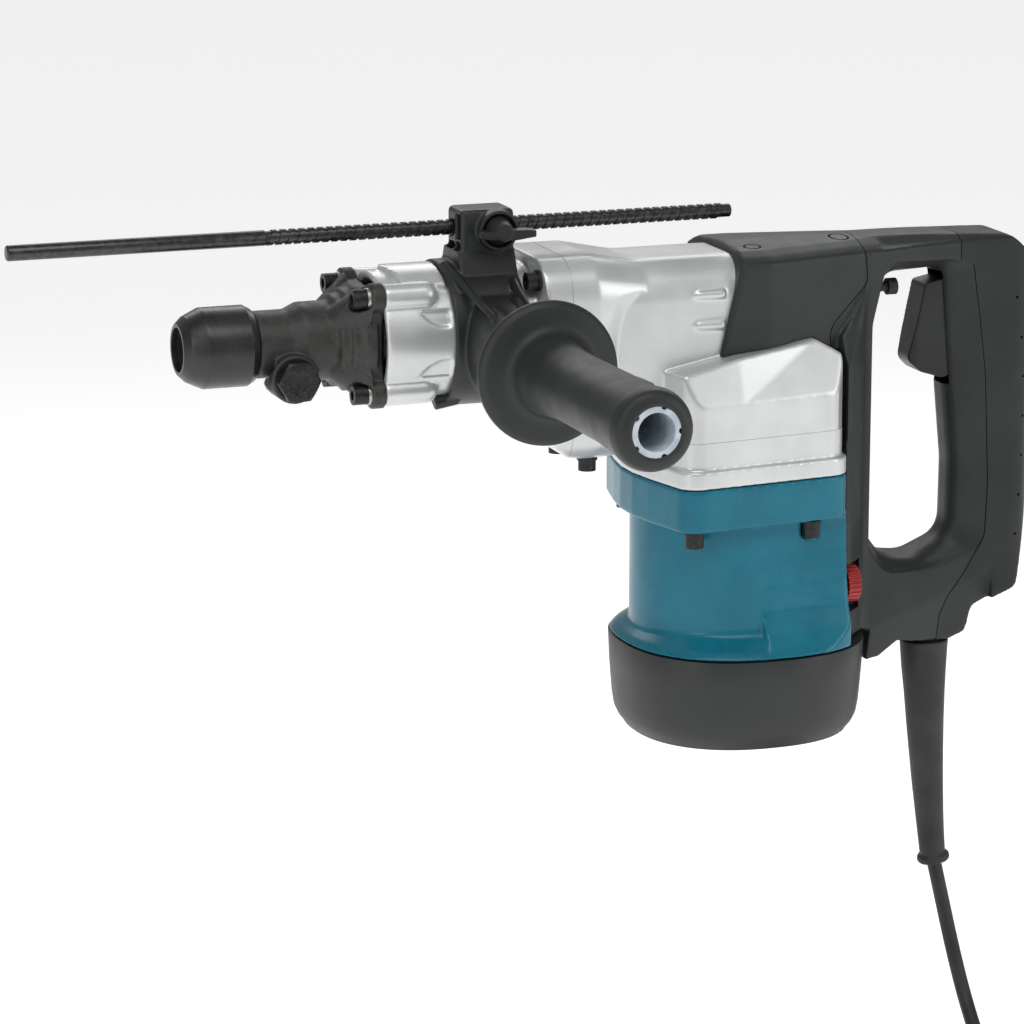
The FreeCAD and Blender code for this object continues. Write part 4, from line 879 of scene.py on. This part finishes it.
bracket = fused(carved(arm, dent), ring, column, foot, *edges, lip, shroud,
                rod(6.0, (ARM_X, -126, ARM_Z), (ARM_X, -104, ARM_Z)))
cells = [block(144, 156, -12.8, -6.6, 37.4, 47.6), block(144, 156, -12.8, -6.6, 49.2, 61.8),
         block(144, 156, -5.0, 4.8, 37.4, 46.6)]
bracket = carved(bracket, rod(34.2, (120, 0, 0), (200, 0, 0), sides=128),
                 rod(4.3, (140, 0, ROD_Z), (180, 0, ROD_Z)),
                 rod(3.1, (WING_X, -22, ROD_Z), (WING_X, 0, ROD_Z)), *cells)
moulded(bracket, 0.7, 5, keep=0.8)
bracket_plastic = black_shell("bracket plastic", (0.016, 0.017, 0.018), (0.023, 0.0245, 0.025), (0.34, 0.42),
                              0.00004)
dressed(bracket, "side_clamp", bracket_plastic, "side_bracket", "bracket_plastic", "side_bracket")

hub = turned([(-17, 0), (-17, 7.5, 0.5), (-19.5, 7.3, 1), (-26, 5.3, 1.5), (-29, 4.4, 1), (-29, 0)], "y",
             (WING_X, 0, ROD_Z), 48)
wing = loft([[at(x, y, ROD_Z + z)
              for y, z in ((-21.2, -low), (-21.2, high), (-27.4, high - 0.6), (-27.4, -low + 0.6))]
             for x, low, high in ((151.4, 3.0, 1.2), (157, 4.0, 1.4), (164, 5.0, 2.0), (172, 4.6, 1.6),
                                  (181.4, 3.4, 1.0))])
screw = moulded(fused(hub, wing), 0.4, 4)
screw = fused(screw, rod(3.0, (WING_X, -18, ROD_Z), (WING_X, -4.4, ROD_Z), sides=48))
creased(40)
dressed(screw, "clamp_wing", trigger_plastic, "wing_screw", "trigger_plastic", "wing_screw")

profile = [(-104.6, 6.3), (-104.6, 30.5, 2), (-107, 35.9, 1), (-111, 36.5, 2), (-113.6, 33.4, 2),
           (-115.6, 21.6, 7), (-128, 18.5, 30), (-150, 17.2, 80), (-205, 17.2, 120), (-232, 18.6, 60),
           (-246, 20.2, 8), (-253, 19, 5), (-254.8, 14, 0.6), (-254.8, 12.1), (-110, 12.1), (-110, 6.3)]
sleeve = turned(profile, "y", (ARM_X, 0, ARM_Z), 96)
strip = loft([[at(ARM_X + 5.5 + side * wide, y, ARM_Z + r)
               for side, r in ((-1, 10), (1, 10), (1, high - 0.5), (0, high), (-1, high + 0.5))]
              for y, wide, high in ((-128, 1.0, 17.4), (-160, 2.2, 17.0), (-205, 3.8, 17.0),
                                    (-226, 4.6, 17.6))])
sleeve = fused(sleeve, carved(strip, rod(13.0, (ARM_X, -100, ARM_Z), (ARM_X, -260, ARM_Z))))
moulded(sleeve, 0.8, 5, keep=0.7)
side_grip_plastic = black_shell("side grip plastic", (0.018, 0.0195, 0.02), (0.024, 0.026, 0.0265),
                                (0.42, 0.5), 0.00005)
dressed(sleeve, "side_grip_sleeve", side_grip_plastic, "side_grip", "grip_rubber", "side_grip")
core = turned([(-110, 6.3), (-110, 12.1), (-254.2, 12.1), (-254.2, 9.3), (-130, 9.3), (-130, 6.3)], "y",
              (ARM_X, 0, ARM_Z), 96)
for turn in range(0, 360, 72):
    x, z = (ARM_X + 12.4 * math.cos(math.radians(turn)), ARM_Z + 12.4 * math.sin(math.radians(turn)))
    core = carved(core, rod(1.5, (x, -255, z), (x, -247, z), sides=24))
creased(40)
nylon = grained("pale nylon", (0.42, 0.47, 0.53), (0.56, 0.6, 0.65), (0.4, 0.5), 150.0, 1500.0, 0.00004,
                Subsurface_Weight=0.15)
dressed(core, "grip_liner", nylon, "side_grip", "core_nylon", "grip_core")

bar = turned([(-85.9, 0), (-85.9, 3.3, 0.3), (-85.1, 3.98, 0.3), (46, 3.98), (46.6, 3.4), (297.4, 3.4),
              (297.9, 3.0), (297.9, 0)], "x", (0, 0, ROD_Z), 48)
tooth = rod(6.0, (48.3, 0, 53.7), (50.66, 0, 52.87), sides=48)
worked(tooth, "ARRAY", count=50, use_relative_offset=False, use_constant_offset=True,
       constant_offset_displace=(4.9 * MM, 0, 0))
bar = fused(bar, shared(tooth, rod(3.98, (46, 0, ROD_Z), (297.9, 0, ROD_Z), sides=48)))
worked(bar, "BEVEL", width=0.15 * MM, segments=1, limit_method="ANGLE", angle_limit=math.radians(40))
creased(35)
rod_steel, shader, place = new_finish("rod steel", Metallic=0.9)
mottle = place.noise(300.0, 4.0, 0.6)
plug_in(shader, Base_Color=mottle.between(0.3, 0.7).mixed((0.05, 0.05, 0.052), (0.085, 0.085, 0.087)),
        Roughness=mottle.between(0.3, 0.7, 0.26, 0.36), Normal=place.noise(2600.0, 2.0).bump(0.00001))
dressed(bar, "depth_bar", rod_steel, "depth_rod", "rod_steel", "depth_rod")


# ---- Inside the housings ---------------------------------------------
# Windings, laminations, fan and brushes keep their own shapes and take their finishes.
sheets, shader, place = new_finish("lamination steel", Metallic=0.8)
layers = place.node("ShaderNodeMapping", None, {"Vector": place, "Scale": (0.02, 0.02, 1.0)}).noise(1400.0)
plug_in(shader, Base_Color=layers.between(0.35, 0.65).mixed((0.16, 0.16, 0.17), (0.34, 0.34, 0.35)),
        Roughness=layers.between(0.3, 0.7, 0.35, 0.5), Normal=layers.bump(0.00006))
node_finish(sheets, "armature_core", "stator")
node_finish(grained("copper", (0.62, 0.27, 0.15), (0.78, 0.38, 0.24), (0.22, 0.36), 300.0, 2500.0, 0.00001,
                    Metallic=1.0), "commutator")
node_finish(black_shell("fan plastic", (0.03, 0.03, 0.032), (0.045, 0.045, 0.047), (0.4, 0.5), 0.00003),
            "fan")
node_finish(grained("brush brass", (0.55, 0.4, 0.16), (0.72, 0.54, 0.26), (0.28, 0.4), 300.0, 2500.0,
                    0.00001, Metallic=1.0), "brush_holders")
node_finish(grained("brush carbon", (0.02, 0.02, 0.021), (0.045, 0.045, 0.047), (0.55, 0.7), 600.0, 3000.0,
                    0.00003), "carbon_brushes")
